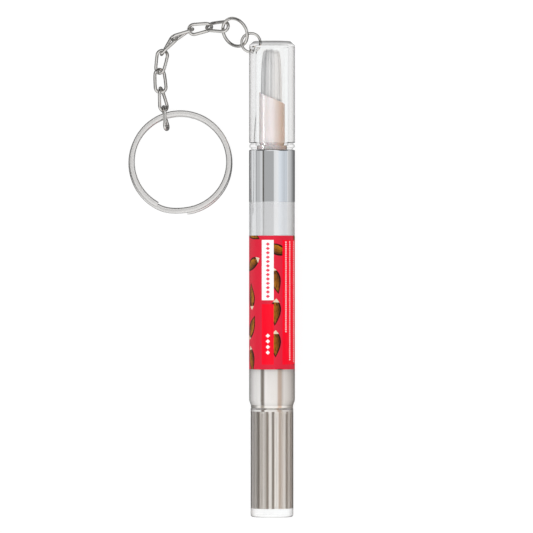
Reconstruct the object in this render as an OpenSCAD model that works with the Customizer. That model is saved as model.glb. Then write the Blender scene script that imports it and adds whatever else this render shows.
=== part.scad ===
// Twist-up nail oil pen with a brush tip, a clear cap and a key chain.
// Millimetres. The pen lies on its side: its axis is +Y, from the knob's end face at the
// origin to the cap, +X is to the right and +Z is up. The table is at z = -body_d / 2.

/* [Pen] */
// Length of the pen from the knob's end face to the top of the cap
pen_len = 136; // [128:0.5:160]
// Outside diameter of barrel, sleeve and cap
body_d = 13.1; // [12.6:0.1:16]
// Wall of the barrel round its bore
barrel_wall = 1.5; // [1.2:0.05:1.7]
// Gap that keeps parts clear where one turns on or pulls off another
part_gap = 0.1; // [0.05:0.01:0.2]
// Radial play of parts that slide or turn in each other
run_fit = 0.05; // [0.03:0.01:0.09]
// Diameter of the band and of the narrow end of the barrel's taper
tail_d = 12.1; // [11.4:0.1:12.4]
// Length of the taper at the rear of the barrel
tail_taper_len = 1.4; // [0.6:0.1:3]

/* [Knob] */
// Length of the knob
knob_len = 31.1; // [27:0.1:38]
// Outside diameter of the knob
knob_d = 12.2; // [11.8:0.1:12.6]
// Wall of the knob between its ribs
knob_wall = 1.1; // [0.8:0.05:1.2]
// Thickness of the knob's closed end
knob_floor = 2.4; // [1:0.1:4]
// Radius of the knob's outer edges
knob_edge_r = 0.65; // [0.2:0.05:1]
// Number of ribs inside the knob
rib_count = 18; // [12:1:20]
// Height of a rib above the wall
rib_h = 0.55; // [0.4:0.05:0.6]
// Width of a rib at the wall
rib_w = 0.9; // [0.6:0.05:1]
// Width of a rib at its tip
rib_tip_w = 0.5; // [0.3:0.05:0.6]
// Length of the smooth mouth above the ribs, in which the nut's snap bead turns
knob_mouth_len = 1.5; // [1.3:0.1:2.5]
// Thickness of the lip that snaps behind the bead
knob_lip_len = 0.4; // [0.3:0.05:0.6]

/* [Screw drive] */
// Outside diameter of the threaded rod
rod_d = 5; // [4.4:0.1:5.2]
// Thickness of the rod across its two flats
rod_flat = 3.8; // [3.2:0.1:4.2]
// Space between the knob's floor and the rod at rest
rod_end_gap = 2.3; // [1:0.1:4]
// Stroke of the piston, as a share of the bore that the nut, piston and holder leave free
stroke_share = 0.533; // [0.3:0.001:0.9]
// Length of the nut's plug in the barrel
nut_plug_len = 6.9; // [4:0.1:10]
// Thickness of the nut's flange, which shows as a band between knob and barrel
nut_flange_len = 0.7; // [0.4:0.1:1.2]
// Outside diameter of the nut's tail in the knob
nut_tail_d = 8.3; // [8:0.1:8.5]
// Length of the nut's tail
nut_tail_len = 2.3; // [2.1:0.1:2.5]
// Number of ratchet teeth on the nut's tail
tooth_count = 12; // [8:1:16]
// Depth of the ratchet teeth
tooth_h = 0.4; // [0.2:0.05:0.5]
// Length of the drive sleeve's splined body
drive_len = 6; // [4:0.1:9]
// Outside diameter of the drive sleeve's nose, which runs in the nut
drive_nose_d = 6.6; // [6.4:0.1:6.8]
// Thickness of the click spring's ring
click_t = 0.5; // [0.3:0.05:0.6]

/* [Piston] */
// Length of the piston
piston_len = 8; // [7:0.1:11]
// Length of each sealing lip of the piston
piston_lip_len = 1.4; // [0.8:0.1:2]
// Depth of the waist between the lips
piston_waist = 0.6; // [0.2:0.05:0.9]
// Space left ahead of the piston at the end of its stroke
piston_end_gap = 1; // [0.5:0.1:3]
// Diameter of the snap head on the rod
head_d = 5; // [4.6:0.1:5.2]
// Length of the snap head
head_len = 1.6; // [1:0.1:2]
// Diameter of the neck behind the snap head
neck_d = 3.6; // [3:0.1:3.8]
// Length of the neck
neck_len = 1.6; // [1.4:0.1:2]

/* [Silver sleeve and label] */
// Length of the silver sleeve
sleeve_len = 24.5; // [18:0.5:28]
// Wall of the silver sleeve
sleeve_t = 0.5; // [0.35:0.05:0.6]
// Radius of the sleeve's front edge
sleeve_edge_r = 0.3; // [0.15:0.05:0.35]
// Thickness of the label film
label_t = 0.1; // [0.05:0.01:0.15]
// Distance of the label's rear edge from the barrel's band
label_offset = 11; // [8:0.1:14]
// Length of the clear margin that the label lays over the silver sleeve
label_margin_len = 9.6; // [5:0.1:14]
// Width of the gap at the label's seam
label_seam = 0.4; // [0.2:0.05:1]

/* [Applicator] */
// Outside diameter of the nozzle
nozzle_d = 7.4; // [7.1:0.1:7.9]
// Wall of the nozzle round the bristles
nozzle_wall = 0.5; // [0.4:0.05:0.6]
// Height of the nozzle's long side above the sleeve
nozzle_len = 16.5; // [13:0.1:20]
// Angle of the nozzle's slanted mouth
nozzle_slant = 25.3; // [10:0.1:35]
// Thickness of the nozzle's flange
flange_len = 1.3; // [1:0.1:1.6]
// Diameter of the nozzle's flange, which the cap snaps on
flange_d = 8.5; // [8.2:0.1:8.8]
// Width of the groove above the flange
recess_len = 0.6; // [0.3:0.1:1]
// Depth of the groove above the flange
recess_depth = 0.25; // [0.1:0.05:0.3]
// Length of the nozzle's tail in the holder
nozzle_tail_len = 6; // [3:0.1:8]
// Outside diameter of the nozzle's tail
nozzle_tail_d = 6.6; // [6:0.1:7]
// Length of the holder in the barrel's bore
holder_len = 14.3; // [11:0.1:18]
// Outside diameter of the feed tube
feed_d = 1.6; // [1.2:0.1:1.8]
// Bore of the feed tube
feed_bore = 0.9; // [0.6:0.05:1]
// How far the feed tube reaches back into the oil
feed_dip = 1; // [0.5:0.1:1.4]
// Width of the sealing ring
seal_w = 1.6; // [1:0.1:2.4]
// Depth of the sealing ring's groove
seal_depth = 0.7; // [0.4:0.05:1]

/* [Bristles] */
// Number of bristles
bristle_count = 300; // [300:10:340]
// Distance from the sleeve's front to the back of the bristles' root
bristle_seat = 6.5; // [4:0.1:8]
// Thickness of the root that holds the bristles together
root_t = 1.8; // [1:0.1:3]
// Distance of the bristles' tip above the nozzle's long side
bristle_show = 12.3; // [8:0.1:12.5]

/* [Cap] */
// Wall of the cap
cap_wall = 1.87; // [1.5:0.01:1.9]
// Length of the cap
cap_len = 31.1; // [30.5:0.1:36]
// Thickness of the cap's top
cap_top = 1.2; // [0.8:0.1:1.8]
// Width of the chamfer round the cap's top
cap_chamfer_w = 1.3; // [0.5:0.1:1.8]
// Height of the chamfer round the cap's top
cap_chamfer_h = 1; // [0.5:0.1:1.2]
// Length of the snap lip in the cap's mouth
cap_lip_len = 1.1; // [0.8:0.1:1.2]
// Length of the narrow step at the cap's mouth
cap_step_len = 0.45; // [0.3:0.05:0.7]
// Length of the bead above the step
cap_bead_len = 0.7; // [0.5:0.05:1]
// Length of the groove above the bead
cap_groove_len = 0.7; // [0.5:0.05:1]
// Depth of the step and the groove
cap_groove_depth = 0.55; // [0.3:0.05:0.6]

/* [Rings] */
// Outside diameter of the small jump ring
small_ring_d = 6.1; // [5.7:0.1:6.5]
// Wire of the small jump ring
small_ring_wire = 0.73; // [0.6:0.01:0.8]
// Distance of the small ring's centre in from the cap's side and from its top
small_ring_inset = 0.53; // [0.4:0.01:0.7]
// Diameter of the cap's two holes for the small ring
ring_hole_d = 1.5; // [1.4:0.05:1.7]
// Outside diameter of the large jump ring
large_ring_d = 9.3; // [9:0.1:9.6]
// Wire of the large jump ring
large_ring_wire = 0.9; // [0.8:0.01:1]
// Cut between the ends of a jump ring's wire
ring_slit = 0.12; // [0.05:0.01:0.2]

/* [Chain] */
// Length of a link
link_len = 7.5; // [7.4:0.1:7.8]
// Width of a link
link_w = 4; // [3.9:0.1:4.3]
// Wire of a link
link_wire = 0.9; // [0.8:0.01:0.95]
// Angle that each end of a link is twisted by
link_twist = 45; // [40:1:48]

/* [Key ring] */
// Outside diameter of the key ring
key_ring_d = 30; // [24:0.5:34]
// Width of the key ring's flat wire
key_wire_w = 1.9; // [1.5:0.1:2.2]
// Thickness of the key ring's flat wire
key_wire_t = 0.78; // [0.6:0.01:0.82]
// Gap between the key ring's two coils
key_coil_gap = 0.05; // [0.03:0.01:0.1]
// Radius of the wire's long edges
key_edge = 0.25; // [0.1:0.05:0.35]

/* [Hidden] */
$fn = 64;
clear = [0.86, 0.9, 0.93, 0.35];
steel = [0.76, 0.77, 0.78];
// How far a cutting shape runs past what it cuts
over = 1;
// How far a rib or key bites into the wall that carries it
bite = 0.2;
// Steps in a rounded edge
corner_steps = 6;

// Radii, and places along the pen measured from the knob's end face
body_r = body_d / 2;
bore_r = body_r - barrel_wall;
tail_r = tail_d / 2;
barrel_s = knob_len + part_gap + nut_flange_len;
band_s = knob_len + part_gap;
cap_s = pen_len - cap_len;
front_s = cap_s - part_gap;
sleeve_s = front_s - sleeve_len;
barrel_front_s = front_s - sleeve_t;
label_s = band_s + label_offset;
label_end_s = sleeve_s + label_margin_len;
holder_s = barrel_front_s - holder_len;
nut_end_s = barrel_s + nut_plug_len;
stroke = stroke_share * (holder_s - piston_end_gap - piston_len - nut_end_s);
piston_s = holder_s - piston_end_gap - stroke - piston_len;
table_z = -body_r;

// A piece that is drawn along Z from its rear end, laid along the pen at a place s
module along_pen(s) {
    rotate([-90, 0, 0])
        translate([0, 0, s])
            children();
}

// A quarter round in a profile, about centre c, from angle a0 to a1
function corner(c, r, a0, a1) =
    [for (i = [0 : corner_steps]) let (a = a0 + (a1 - a0) * i / corner_steps)
        c + r * [cos(a), sin(a)]];

// A tube or a ring drawn from its radii and length
module tube(r_out, r_in, len) {
    difference() {
        cylinder(r = r_out, h = len);
        translate([0, 0, -over])
            cylinder(r = r_in, h = len + 2 * over);
    }
}

// Barrel: clear moulded tube with a tapered rear end and a seat for the silver sleeve
barrel_len = barrel_front_s - barrel_s;
neck_r = body_r - sleeve_t;
module barrel() {
    color(clear)
        along_pen(barrel_s)
            difference() {
                rotate_extrude()
                    polygon([
                        [0, 0],
                        [tail_r, 0],
                        [body_r, tail_taper_len],
                        [body_r, label_s - barrel_s],
                        [body_r - label_t, label_s - barrel_s],
                        [body_r - label_t, sleeve_s - barrel_s],
                        [neck_r, sleeve_s - barrel_s],
                        [neck_r, barrel_len],
                        [0, barrel_len]
                    ]);
                translate([0, 0, -over])
                    cylinder(r = bore_r, h = barrel_len + 2 * over);
            }
}

// Guide nut: plug in the barrel's rear, flange, and a tail with a snap bead and ratchet teeth
nut_bore_r = rod_d / 2 + run_fit;
nut_tail_r = nut_tail_d / 2;
nut_bead_h = 0.5;
nut_bead_len = 0.7;
nut_counterbore_r = drive_nose_d / 2 + 2 * part_gap;
nut_counterbore_len = 1;
nut_s = band_s - nut_tail_len;
bead_s = nut_tail_len - part_gap - knob_lip_len - nut_bead_len - part_gap;
module guide_nut() {
    plug_s = nut_tail_len + nut_flange_len;
    nut_len = plug_s + nut_plug_len;
    tooth_side = tooth_h * sqrt(2);
    color([0.93, 0.93, 0.92])
        along_pen(nut_s)
            difference() {
                rotate_extrude()
                    polygon([
                        [0, 0],
                        [nut_tail_r, 0],
                        [nut_tail_r, bead_s],
                        [nut_tail_r + nut_bead_h, bead_s + nut_bead_len / 2],
                        [nut_tail_r + nut_bead_h, bead_s + nut_bead_len],
                        [nut_tail_r, bead_s + nut_bead_len],
                        [nut_tail_r, nut_tail_len],
                        [tail_r, nut_tail_len],
                        [tail_r, plug_s],
                        [bore_r, plug_s],
                        [bore_r, nut_len],
                        [0, nut_len]
                    ]);
                translate([0, 0, -over])
                    cylinder(r = nut_bore_r, h = nut_len + 2 * over);
                translate([0, 0, -over])
                    cylinder(r = nut_counterbore_r, h = nut_counterbore_len + over);
                // Valleys between the ratchet teeth
                for (i = [0 : tooth_count - 1])
                    rotate(i * 360 / tooth_count)
                        rotate([45, 0, 0])
                            translate([nut_bore_r, -tooth_side / 2, -tooth_side / 2])
                                cube([body_r, tooth_side, tooth_side]);
            }
}

// Silver sleeve: metallised shell over the barrel's neck, with a lip over its front end
sleeve_lip_r = nozzle_tail_d / 2 + sleeve_t;
module silver_sleeve() {
    margin_s = label_end_s - sleeve_s;
    edge_s = sleeve_len - sleeve_edge_r;
    color([0.72, 0.74, 0.76])
        along_pen(sleeve_s)
            difference() {
                rotate_extrude()
                    polygon(concat(
                        [[0, 0], [body_r - label_t, 0], [body_r - label_t, margin_s],
                            [body_r, margin_s]],
                        corner([body_r - sleeve_edge_r, edge_s], sleeve_edge_r, 0, 90),
                        [[0, sleeve_len]]
                    ));
                translate([0, 0, -over])
                    cylinder(r = neck_r, h = sleeve_len - sleeve_t + over);
                cylinder(r = sleeve_lip_r, h = sleeve_len + over);
            }
}

// Label film: one wrap, printed over the barrel and clear over the sleeve, with a seam behind
module label_film() {
    label_len = label_end_s - label_s;
    color([0.9, 0.19, 0.3])
        along_pen(label_s)
            difference() {
                tube(body_r, body_r - label_t, label_len);
                translate([-label_seam / 2, 0, -over])
                    cube([label_seam, body_r + over, label_len + 2 * over]);
            }
}

// Brush holder: plug in the front of the bore, with a socket for the nozzle and a seal groove
seal_s = 3;
nozzle_socket_len = nozzle_tail_len - sleeve_t;
module brush_holder() {
    socket_r = nozzle_tail_d / 2;
    color([0.95, 0.95, 0.94])
        along_pen(holder_s)
            difference() {
                cylinder(r = bore_r, h = holder_len);
                translate([0, 0, -over])
                    cylinder(r = feed_d / 2, h = holder_len + 2 * over);
                translate([0, 0, holder_len - nozzle_socket_len])
                    cylinder(r = socket_r, h = nozzle_socket_len + over);
                translate([0, 0, seal_s])
                    tube(bore_r + over, bore_r - seal_depth, seal_w);
            }
}

// Neck seal: rubber ring with round sides in the holder's groove
module neck_seal() {
    color([0.25, 0.25, 0.26])
        along_pen(holder_s + seal_s)
            tube(bore_r, bore_r - seal_depth, seal_w);
}

// Nozzle: tail in the holder, flange for the cap, groove, and a sleeve cut at a slant
nozzle_r = nozzle_d / 2;
nozzle_bore_r = nozzle_r - nozzle_wall;
module nozzle() {
    total_len = nozzle_tail_len + nozzle_len;
    shoulder_s = nozzle_tail_len + bristle_seat;
    color([0.87, 0.81, 0.8])
        along_pen(front_s - nozzle_tail_len)
            difference() {
                rotate_extrude()
                    polygon([
                        [0, 0],
                        [nozzle_tail_d / 2, 0],
                        [nozzle_tail_d / 2, nozzle_tail_len],
                        [flange_d / 2, nozzle_tail_len],
                        [flange_d / 2, nozzle_tail_len + flange_len],
                        [nozzle_r - recess_depth, nozzle_tail_len + flange_len],
                        [nozzle_r - recess_depth, nozzle_tail_len + flange_len + recess_len],
                        [nozzle_r, nozzle_tail_len + flange_len + recess_len],
                        [nozzle_r, total_len],
                        [0, total_len]
                    ]);
                translate([0, 0, shoulder_s])
                    cylinder(r = nozzle_bore_r, h = total_len);
                translate([0, 0, -over])
                    cylinder(r = nozzle_tail_d / 2 - 2 * nozzle_wall, h = total_len);
                // The slanted mouth falls from the -X side to the +X side
                translate([-nozzle_r, 0, total_len])
                    rotate([0, nozzle_slant, 0])
                        translate([-nozzle_len, -nozzle_len, 0])
                            cube([3 * nozzle_len, 2 * nozzle_len, nozzle_len]);
            }
}

// Feed tube: brings the oil from behind the holder through the root of the bristles
module feed_tube() {
    feed_end_s = front_s + bristle_seat + root_t + feed_d;
    color([0.9, 0.9, 0.9])
        along_pen(holder_s - feed_dip)
            tube(feed_d / 2, feed_bore / 2, feed_end_s - holder_s + feed_dip);
}

// Bristles: a unit bundle, of radius and height 1, drawn out to the size of the brush
bristle_len = nozzle_len + bristle_show - bristle_seat;
root_share = root_t / bristle_len;
// Radius of the bundle's free core round the feed tube
core_share = 0.36;
// Radius of the bundle, and of a bristle at its root and near its tip
bundle_share = 0.945;
strand_share = 0.038;
strand_tip_share = 0.02;
// Drop of the outer tips below the middle ones, and their ragged spread
dome_share = 0.06;
ragged_share = 0.035;
// How far the bundle leans to -X at its tip
lean_share = 0.09;
// Heights at which a bristle has a ring of points, the first inside the root, and how far the
// bundle has drawn in there and at its tip
level_shares = [0, 0.16, 0.72];
draw_shares = [1, 1, 0.93, 0.66];
golden_angle = 137.508;
strand_sides = 3;
strand_levels = len(level_shares);

function ragged(i) = let (v = sin(i * 78.2) * 43.7) v - floor(v);
function bundle_width(h) =
    lookup(h, [for (k = [0 : strand_levels]) [k < strand_levels ? level_shares[k] : 1,
        draw_shares[k]]]);
function strand_radius(i) =
    let (f = (i + 0.5) / bristle_count)
    sqrt(core_share * core_share + f * (bundle_share * bundle_share - core_share * core_share));
function strand_height(i) =
    1 - dome_share * pow(strand_radius(i) / bundle_share, 3) - ragged_share * ragged(i);
// Centre of strand i at height h
function strand_at(i, h) =
    let (a = i * golden_angle, r = strand_radius(i) * bundle_width(h))
    [r * cos(a) - lean_share * h * h, r * sin(a), h];
function strand_ring(i, level) =
    let (h = level == 0 ? root_share / 2 : strand_height(i) * level_shares[level],
        w = strand_share + (strand_tip_share - strand_share) * h)
    [for (k = [0 : strand_sides - 1])
        strand_at(i, h) + w * [cos(120 * k + 50 * i), sin(120 * k + 50 * i), 0]];
function strand_points(i) =
    concat([for (level = [0 : strand_levels - 1]) each strand_ring(i, level)],
        [strand_at(i, strand_height(i))]);
strand_tip = strand_sides * strand_levels;
strand_faces = concat(
    [[0, 1, 2]],
    [for (level = [0 : strand_levels - 2], k = [0 : strand_sides - 1])
        let (a = level * strand_sides, k2 = (k + 1) % strand_sides)
        each [[a + k, a + strand_sides + k, a + strand_sides + k2],
            [a + k, a + strand_sides + k2, a + k2]]],
    [for (k = [0 : strand_sides - 1])
        let (a = (strand_levels - 1) * strand_sides)
        [a + k, strand_tip, a + (k + 1) % strand_sides]]
);
module unit_bundle() {
    difference() {
        cylinder(r = 1, h = root_share, $fn = 40);
        translate([0, 0, -root_share])
            cylinder(r = (feed_d / 2 + run_fit) / nozzle_bore_r, h = 3 * root_share, $fn = 24);
    }
    polyhedron(
        points = [for (i = [0 : bristle_count - 1]) each strand_points(i)],
        faces = [for (i = [0 : bristle_count - 1], f = strand_faces)
            [for (v = f) v + i * (strand_tip + 1)]]
    );
}
module brush_bristles() {
    color([0.9, 0.9, 0.9])
        along_pen(front_s + bristle_seat)
            resize([2 * nozzle_bore_r, 2 * nozzle_bore_r, bristle_len])
                unit_bundle();
}

// Piston: two lips with a waist between them, and a socket for the rod's snap head
piston_r = bore_r - run_fit;
socket_gap = 2 * part_gap;
module piston() {
    lip_r = neck_d / 2 + run_fit;
    chamber_r = head_d / 2 + part_gap;
    chamber_s = neck_len - socket_gap;
    chamber_len = head_len + socket_gap;
    waist_s = piston_lip_len + piston_waist;
    color([0.96, 0.96, 0.95])
        along_pen(piston_s)
            difference() {
                rotate_extrude()
                    polygon([
                        [0, 0],
                        [piston_r, 0],
                        [piston_r, piston_lip_len],
                        [piston_r - piston_waist, waist_s],
                        [piston_r - piston_waist, piston_len - waist_s],
                        [piston_r, piston_len - piston_lip_len],
                        [piston_r, piston_len],
                        [head_d / 2, piston_len],
                        [0, piston_len - piston_waist]
                    ]);
                translate([0, 0, -over])
                    cylinder(r = lip_r, h = chamber_s + 2 * over);
                translate([0, 0, chamber_s])
                    cylinder(r = chamber_r, h = chamber_len);
            }
}

// Screw rod: threaded shank with two flats, and a round snap head in the piston
rod_s = knob_floor + rod_end_gap;
module screw_rod() {
    shank_len = piston_s - socket_gap - rod_s;
    neck_total = neck_len + socket_gap;
    color([0.82, 0.78, 0.72])
        along_pen(rod_s) {
            intersection() {
                cylinder(r = rod_d / 2, h = shank_len);
                translate([-rod_flat / 2, -rod_d, 0])
                    cube([rod_flat, 2 * rod_d, shank_len]);
            }
            translate([0, 0, shank_len - bite])
                cylinder(r = neck_d / 2, h = neck_total + bite);
            translate([0, 0, shank_len + neck_total - part_gap])
                cylinder(r1 = head_d / 2, r2 = neck_d / 2, h = head_len);
        }
}

// Knob: clear cup with ribs inside, and a lip in its mouth that snaps behind the nut's bead
knob_r = knob_d / 2;
knob_in_r = knob_r - knob_wall;
rib_tip_r = knob_in_r - rib_h;
rib_top_s = knob_len - knob_mouth_len;
module knob() {
    rib_len = rib_top_s - knob_floor + bite;
    lip_s = knob_len - knob_lip_len;
    lip_r = nut_tail_r + 2 * part_gap;
    color(clear)
        along_pen(0) {
            difference() {
                rotate_extrude()
                    polygon(concat(
                        [[0, 0]],
                        corner([knob_r - knob_edge_r, knob_edge_r], knob_edge_r, -90, 0),
                        corner([knob_r - bite, knob_len - bite], bite, 0, 90),
                        [[0, knob_len]]
                    ));
                translate([0, 0, knob_floor])
                    cylinder(r = knob_in_r, h = lip_s - knob_floor);
                translate([0, 0, knob_floor])
                    cylinder(r = lip_r, h = knob_len);
            }
            for (i = [0 : rib_count - 1])
                rotate(i * 360 / rib_count)
                    translate([0, 0, knob_floor - bite])
                        linear_extrude(rib_len)
                            polygon([
                                [rib_tip_r, -rib_tip_w / 2],
                                [rib_tip_r, rib_tip_w / 2],
                                [knob_in_r + bite, rib_w / 2],
                                [knob_in_r + bite, -rib_w / 2]
                            ]);
        }
}

// Drive sleeve: splined to the knob's ribs, with a flatted hole that turns the rod
click_room = 1.5;
drive_s = nut_s - click_room - click_t - drive_len;
drive_keys = 6;
drive_key_w = 0.5;
drive_nose_end_s = nut_s + nut_counterbore_len - 2 * part_gap;
module drive_sleeve() {
    nose_len = drive_nose_end_s - drive_s;
    color([0.93, 0.93, 0.92])
        along_pen(drive_s)
            difference() {
                union() {
                    cylinder(r = rib_tip_r, h = drive_len);
                    cylinder(r = drive_nose_d / 2, h = nose_len);
                    for (i = [0 : drive_keys - 1])
                        rotate((i * floor(rib_count / drive_keys) + 0.5) * 360 / rib_count)
                            translate([rib_tip_r - bite, -drive_key_w / 2, 0])
                                cube([rib_h + bite - part_gap, drive_key_w, drive_len]);
                }
                intersection() {
                    translate([0, 0, -over])
                        cylinder(r = rod_d / 2 + part_gap, h = nose_len + 2 * over);
                    translate([-rod_flat / 2 - part_gap, -rod_d, -over])
                        cube([rod_flat + 2 * part_gap, 2 * rod_d, nose_len + 2 * over]);
                }
            }
}

// Click spring: a ring on the drive sleeve with two sprung arms that ride over the nut's teeth
click_arm_t = 0.35;
click_arm_past = 0.3;
module click_spring() {
    ring_in_r = drive_nose_d / 2 + run_fit;
    ring_out_r = nut_tail_r;
    arm_in_r = nut_counterbore_r + run_fit;
    arm_s = (click_t - click_arm_t) / 2;
    arm_slope = atan((click_room + arm_s - part_gap) / ring_out_r);
    color([0.8, 0.82, 0.84])
        along_pen(drive_s + drive_len) {
            tube(ring_out_r, ring_in_r, click_t);
            // Each arm is a quarter of a narrower ring, bent up towards the teeth
            for (side = [0, 180])
                rotate(side)
                    intersection() {
                        tube(ring_out_r - run_fit, arm_in_r, click_t + click_room);
                        translate([-click_arm_past, 0, arm_s])
                            rotate([arm_slope, 0, 0])
                                cube([body_r, body_r, click_arm_t]);
                    }
        }
}

// Cap: clear cup with a chamfered top, a snap lip and grooves at its mouth, and two ring holes
cap_bore_r = body_r - cap_wall;
ring_x = -(body_r - small_ring_inset);
ring_y = pen_len - small_ring_inset;
ring_mid_r = (small_ring_d - small_ring_wire) / 2;
// How far from its centre the ring's wire is when it crosses a face at a distance d
function ring_chord(d) = sqrt(ring_mid_r * ring_mid_r - d * d);
side_hole_y = ring_y - (ring_chord(small_ring_inset) + ring_chord(cap_wall - small_ring_inset)) / 2;
top_hole_x = ring_x + (ring_chord(small_ring_inset) + ring_chord(cap_top - small_ring_inset)) / 2;
module cap() {
    step_r = body_r - cap_groove_depth;
    bead_s0 = cap_step_len + cap_groove_depth / 3;
    bead_s1 = bead_s0 + cap_bead_len;
    groove_s = bead_s1 + cap_groove_len / 2;
    color(clear)
        difference() {
            along_pen(cap_s)
                difference() {
                    rotate_extrude()
                        polygon([
                            [0, 0],
                            [step_r, 0],
                            [step_r, cap_step_len],
                            [body_r - run_fit, bead_s0],
                            [body_r - run_fit, bead_s1],
                            [step_r, groove_s],
                            [body_r, groove_s + cap_groove_len / 2],
                            [body_r, cap_len - cap_chamfer_h],
                            [body_r - cap_chamfer_w, cap_len],
                            [0, cap_len]
                        ]);
                    translate([0, 0, -over])
                        cylinder(r = flange_d / 2 + run_fit, h = cap_len - cap_top + over);
                    translate([0, 0, cap_lip_len])
                        cylinder(r = cap_bore_r, h = cap_len - cap_top - cap_lip_len);
                }
            translate([-body_r - over, side_hole_y, 0])
                rotate([0, 90, 0])
                    cylinder(d = ring_hole_d, h = cap_wall + 2 * over);
            translate([top_hole_x, pen_len + over, 0])
                rotate([90, 0, 0])
                    cylinder(d = ring_hole_d, h = cap_top + 2 * over);
        }
}

// A jump ring: round wire bent into a circle, with a fine slit between its ends at angle a
module jump_ring(d, wire, a) {
    difference() {
        rotate_extrude()
            translate([(d - wire) / 2, 0])
                circle(d = wire);
        rotate(a)
            translate([0, -ring_slit / 2, -wire])
                cube([d, ring_slit, 2 * wire]);
    }
}

// Small ring: lies level through the cap's two holes, with its slit inside the cap
small_ring_slit_dir = -45;
module small_ring() {
    color(steel)
        translate([ring_x, ring_y, 0])
            jump_ring(small_ring_d, small_ring_wire, small_ring_slit_dir);
}

// Large ring: hooks the small ring and slopes down to the chain
large_ring_dir = 146.4;
large_ring_reach = 5.44;
large_ring_drop = 1.02;
large_ring_turn = 153;
large_ring_slope = 24;
large_ring_roll = -35;
large_ring_slit_dir = -60;
large_ring_at = [ring_x + large_ring_reach * cos(large_ring_dir),
    ring_y + large_ring_reach * sin(large_ring_dir), -large_ring_drop];
module large_ring() {
    color(steel)
        translate(large_ring_at)
            rotate([0, 0, large_ring_turn])
                rotate([0, large_ring_slope, 0])
                    rotate([large_ring_roll, 0, 0])
                        jump_ring(large_ring_d, large_ring_wire, large_ring_slit_dir);
}

// Chain links: round wire bent to an oval and twisted, so that the links lie over each other.
// A link is drawn along X. It is then rolled, sloped and turned, and set down on the table.
link_bend_r = (link_w - link_wire) / 2;
link_leg = (link_len - link_w) / 2;
link_reach = link_leg + link_bend_r;
bend_steps = 10;
leg_steps = 4;
wire_sides = 8;
link_oval = concat(
    [for (i = [0 : bend_steps]) let (a = -90 + 180 * i / bend_steps)
        [link_leg + link_bend_r * cos(a), link_bend_r * sin(a)]],
    [for (i = [1 : leg_steps - 1]) [link_leg - 2 * link_leg * i / leg_steps, link_bend_r]],
    [for (i = [0 : bend_steps]) let (a = 90 + 180 * i / bend_steps)
        [-link_leg + link_bend_r * cos(a), link_bend_r * sin(a)]],
    [for (i = [1 : leg_steps - 1]) [-link_leg + 2 * link_leg * i / leg_steps, -link_bend_r]]
);
function twisted(p) = let (t = link_twist * p.x / link_reach) [p.x, p.y * cos(t), p.y * sin(t)];
link_line = [for (p = link_oval) twisted(p)];
// The link's own plane turns with its twist, and carries the wire's section
function link_up(p) = let (t = link_twist * p.x / link_reach) [0, -sin(t), cos(t)];

function unit(v) = v / norm(v);
function wire_ring(line, i) =
    let (n = len(line),
        along = unit(line[(i + 1) % n] - line[(i + n - 1) % n]),
        side = unit(cross(link_up(link_oval[i]), along)),
        up = cross(along, side))
    [for (k = [0 : wire_sides - 1]) let (a = (k + 0.5) * 360 / wire_sides)
        line[i] + link_wire / 2 * (cos(a) * side + sin(a) * up)];
function tube_faces(rings, sides, closed) =
    [for (i = [0 : rings - (closed ? 1 : 2)], k = [0 : sides - 1])
        let (a = i * sides, b = (i + 1) % rings * sides, k2 = (k + 1) % sides)
        each [[a + k, b + k, b + k2], [a + k, b + k2, a + k2]]];

// Plan direction, slope and roll of each link, chosen to lie as a dropped chain does
link_headings = [185, 190, 205, 232, 261, 275, 278, 278];
link_slopes = [-24, 0, 0, 0, 0, 0, 0, 0];
link_rolls = [127, 135, 108, 62, 25, -5, -47, -88];
// Overlap of each pair of links, and each link's height above the table, in wires
overlap_shares = [1.22, 1.28, 1.67, 1.35, 1.2, 1.4, 1.28];
lift_shares = [1.5, 0, 0, 0, 0.11, 0.33, 0, 0];
// The first link's centre, out from the large ring's centre
hook_out = 5.3;
hook_dir = 159.5;

function heading(i) = [cos(link_headings[i]), sin(link_headings[i])];
function plan_reach(i) = link_reach * cos(link_slopes[i]);
function link_plan(i) =
    i == 0
        ? [large_ring_at.x, large_ring_at.y] + hook_out * [cos(hook_dir), sin(hook_dir)]
        : link_plan(i - 1) + plan_reach(i - 1) * heading(i - 1)
            - overlap_shares[i - 1] * link_wire / 2 * (heading(i - 1) + heading(i))
            + plan_reach(i) * heading(i);
// Height of a point of link i once it is rolled and sloped
function rolled_z(p, i) =
    p.x * sin(link_slopes[i])
        + (p.y * sin(link_rolls[i]) + p.z * cos(link_rolls[i])) * cos(link_slopes[i]);
function link_z(i) =
    table_z + link_wire / 2 - min([for (p = link_line) rolled_z(p, i)])
        + lift_shares[i] * link_wire;

module chain_link(i) {
    color(steel)
        translate([link_plan(i).x, link_plan(i).y, link_z(i)])
            rotate([0, 0, link_headings[i]])
                rotate([0, -link_slopes[i], 0])
                    rotate([link_rolls[i], 0, 0])
                        polyhedron(
                            points = [for (k = [0 : len(link_line) - 1])
                                each wire_ring(link_line, k)],
                            faces = tube_faces(len(link_line), wire_sides, true)
                        );
}

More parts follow.
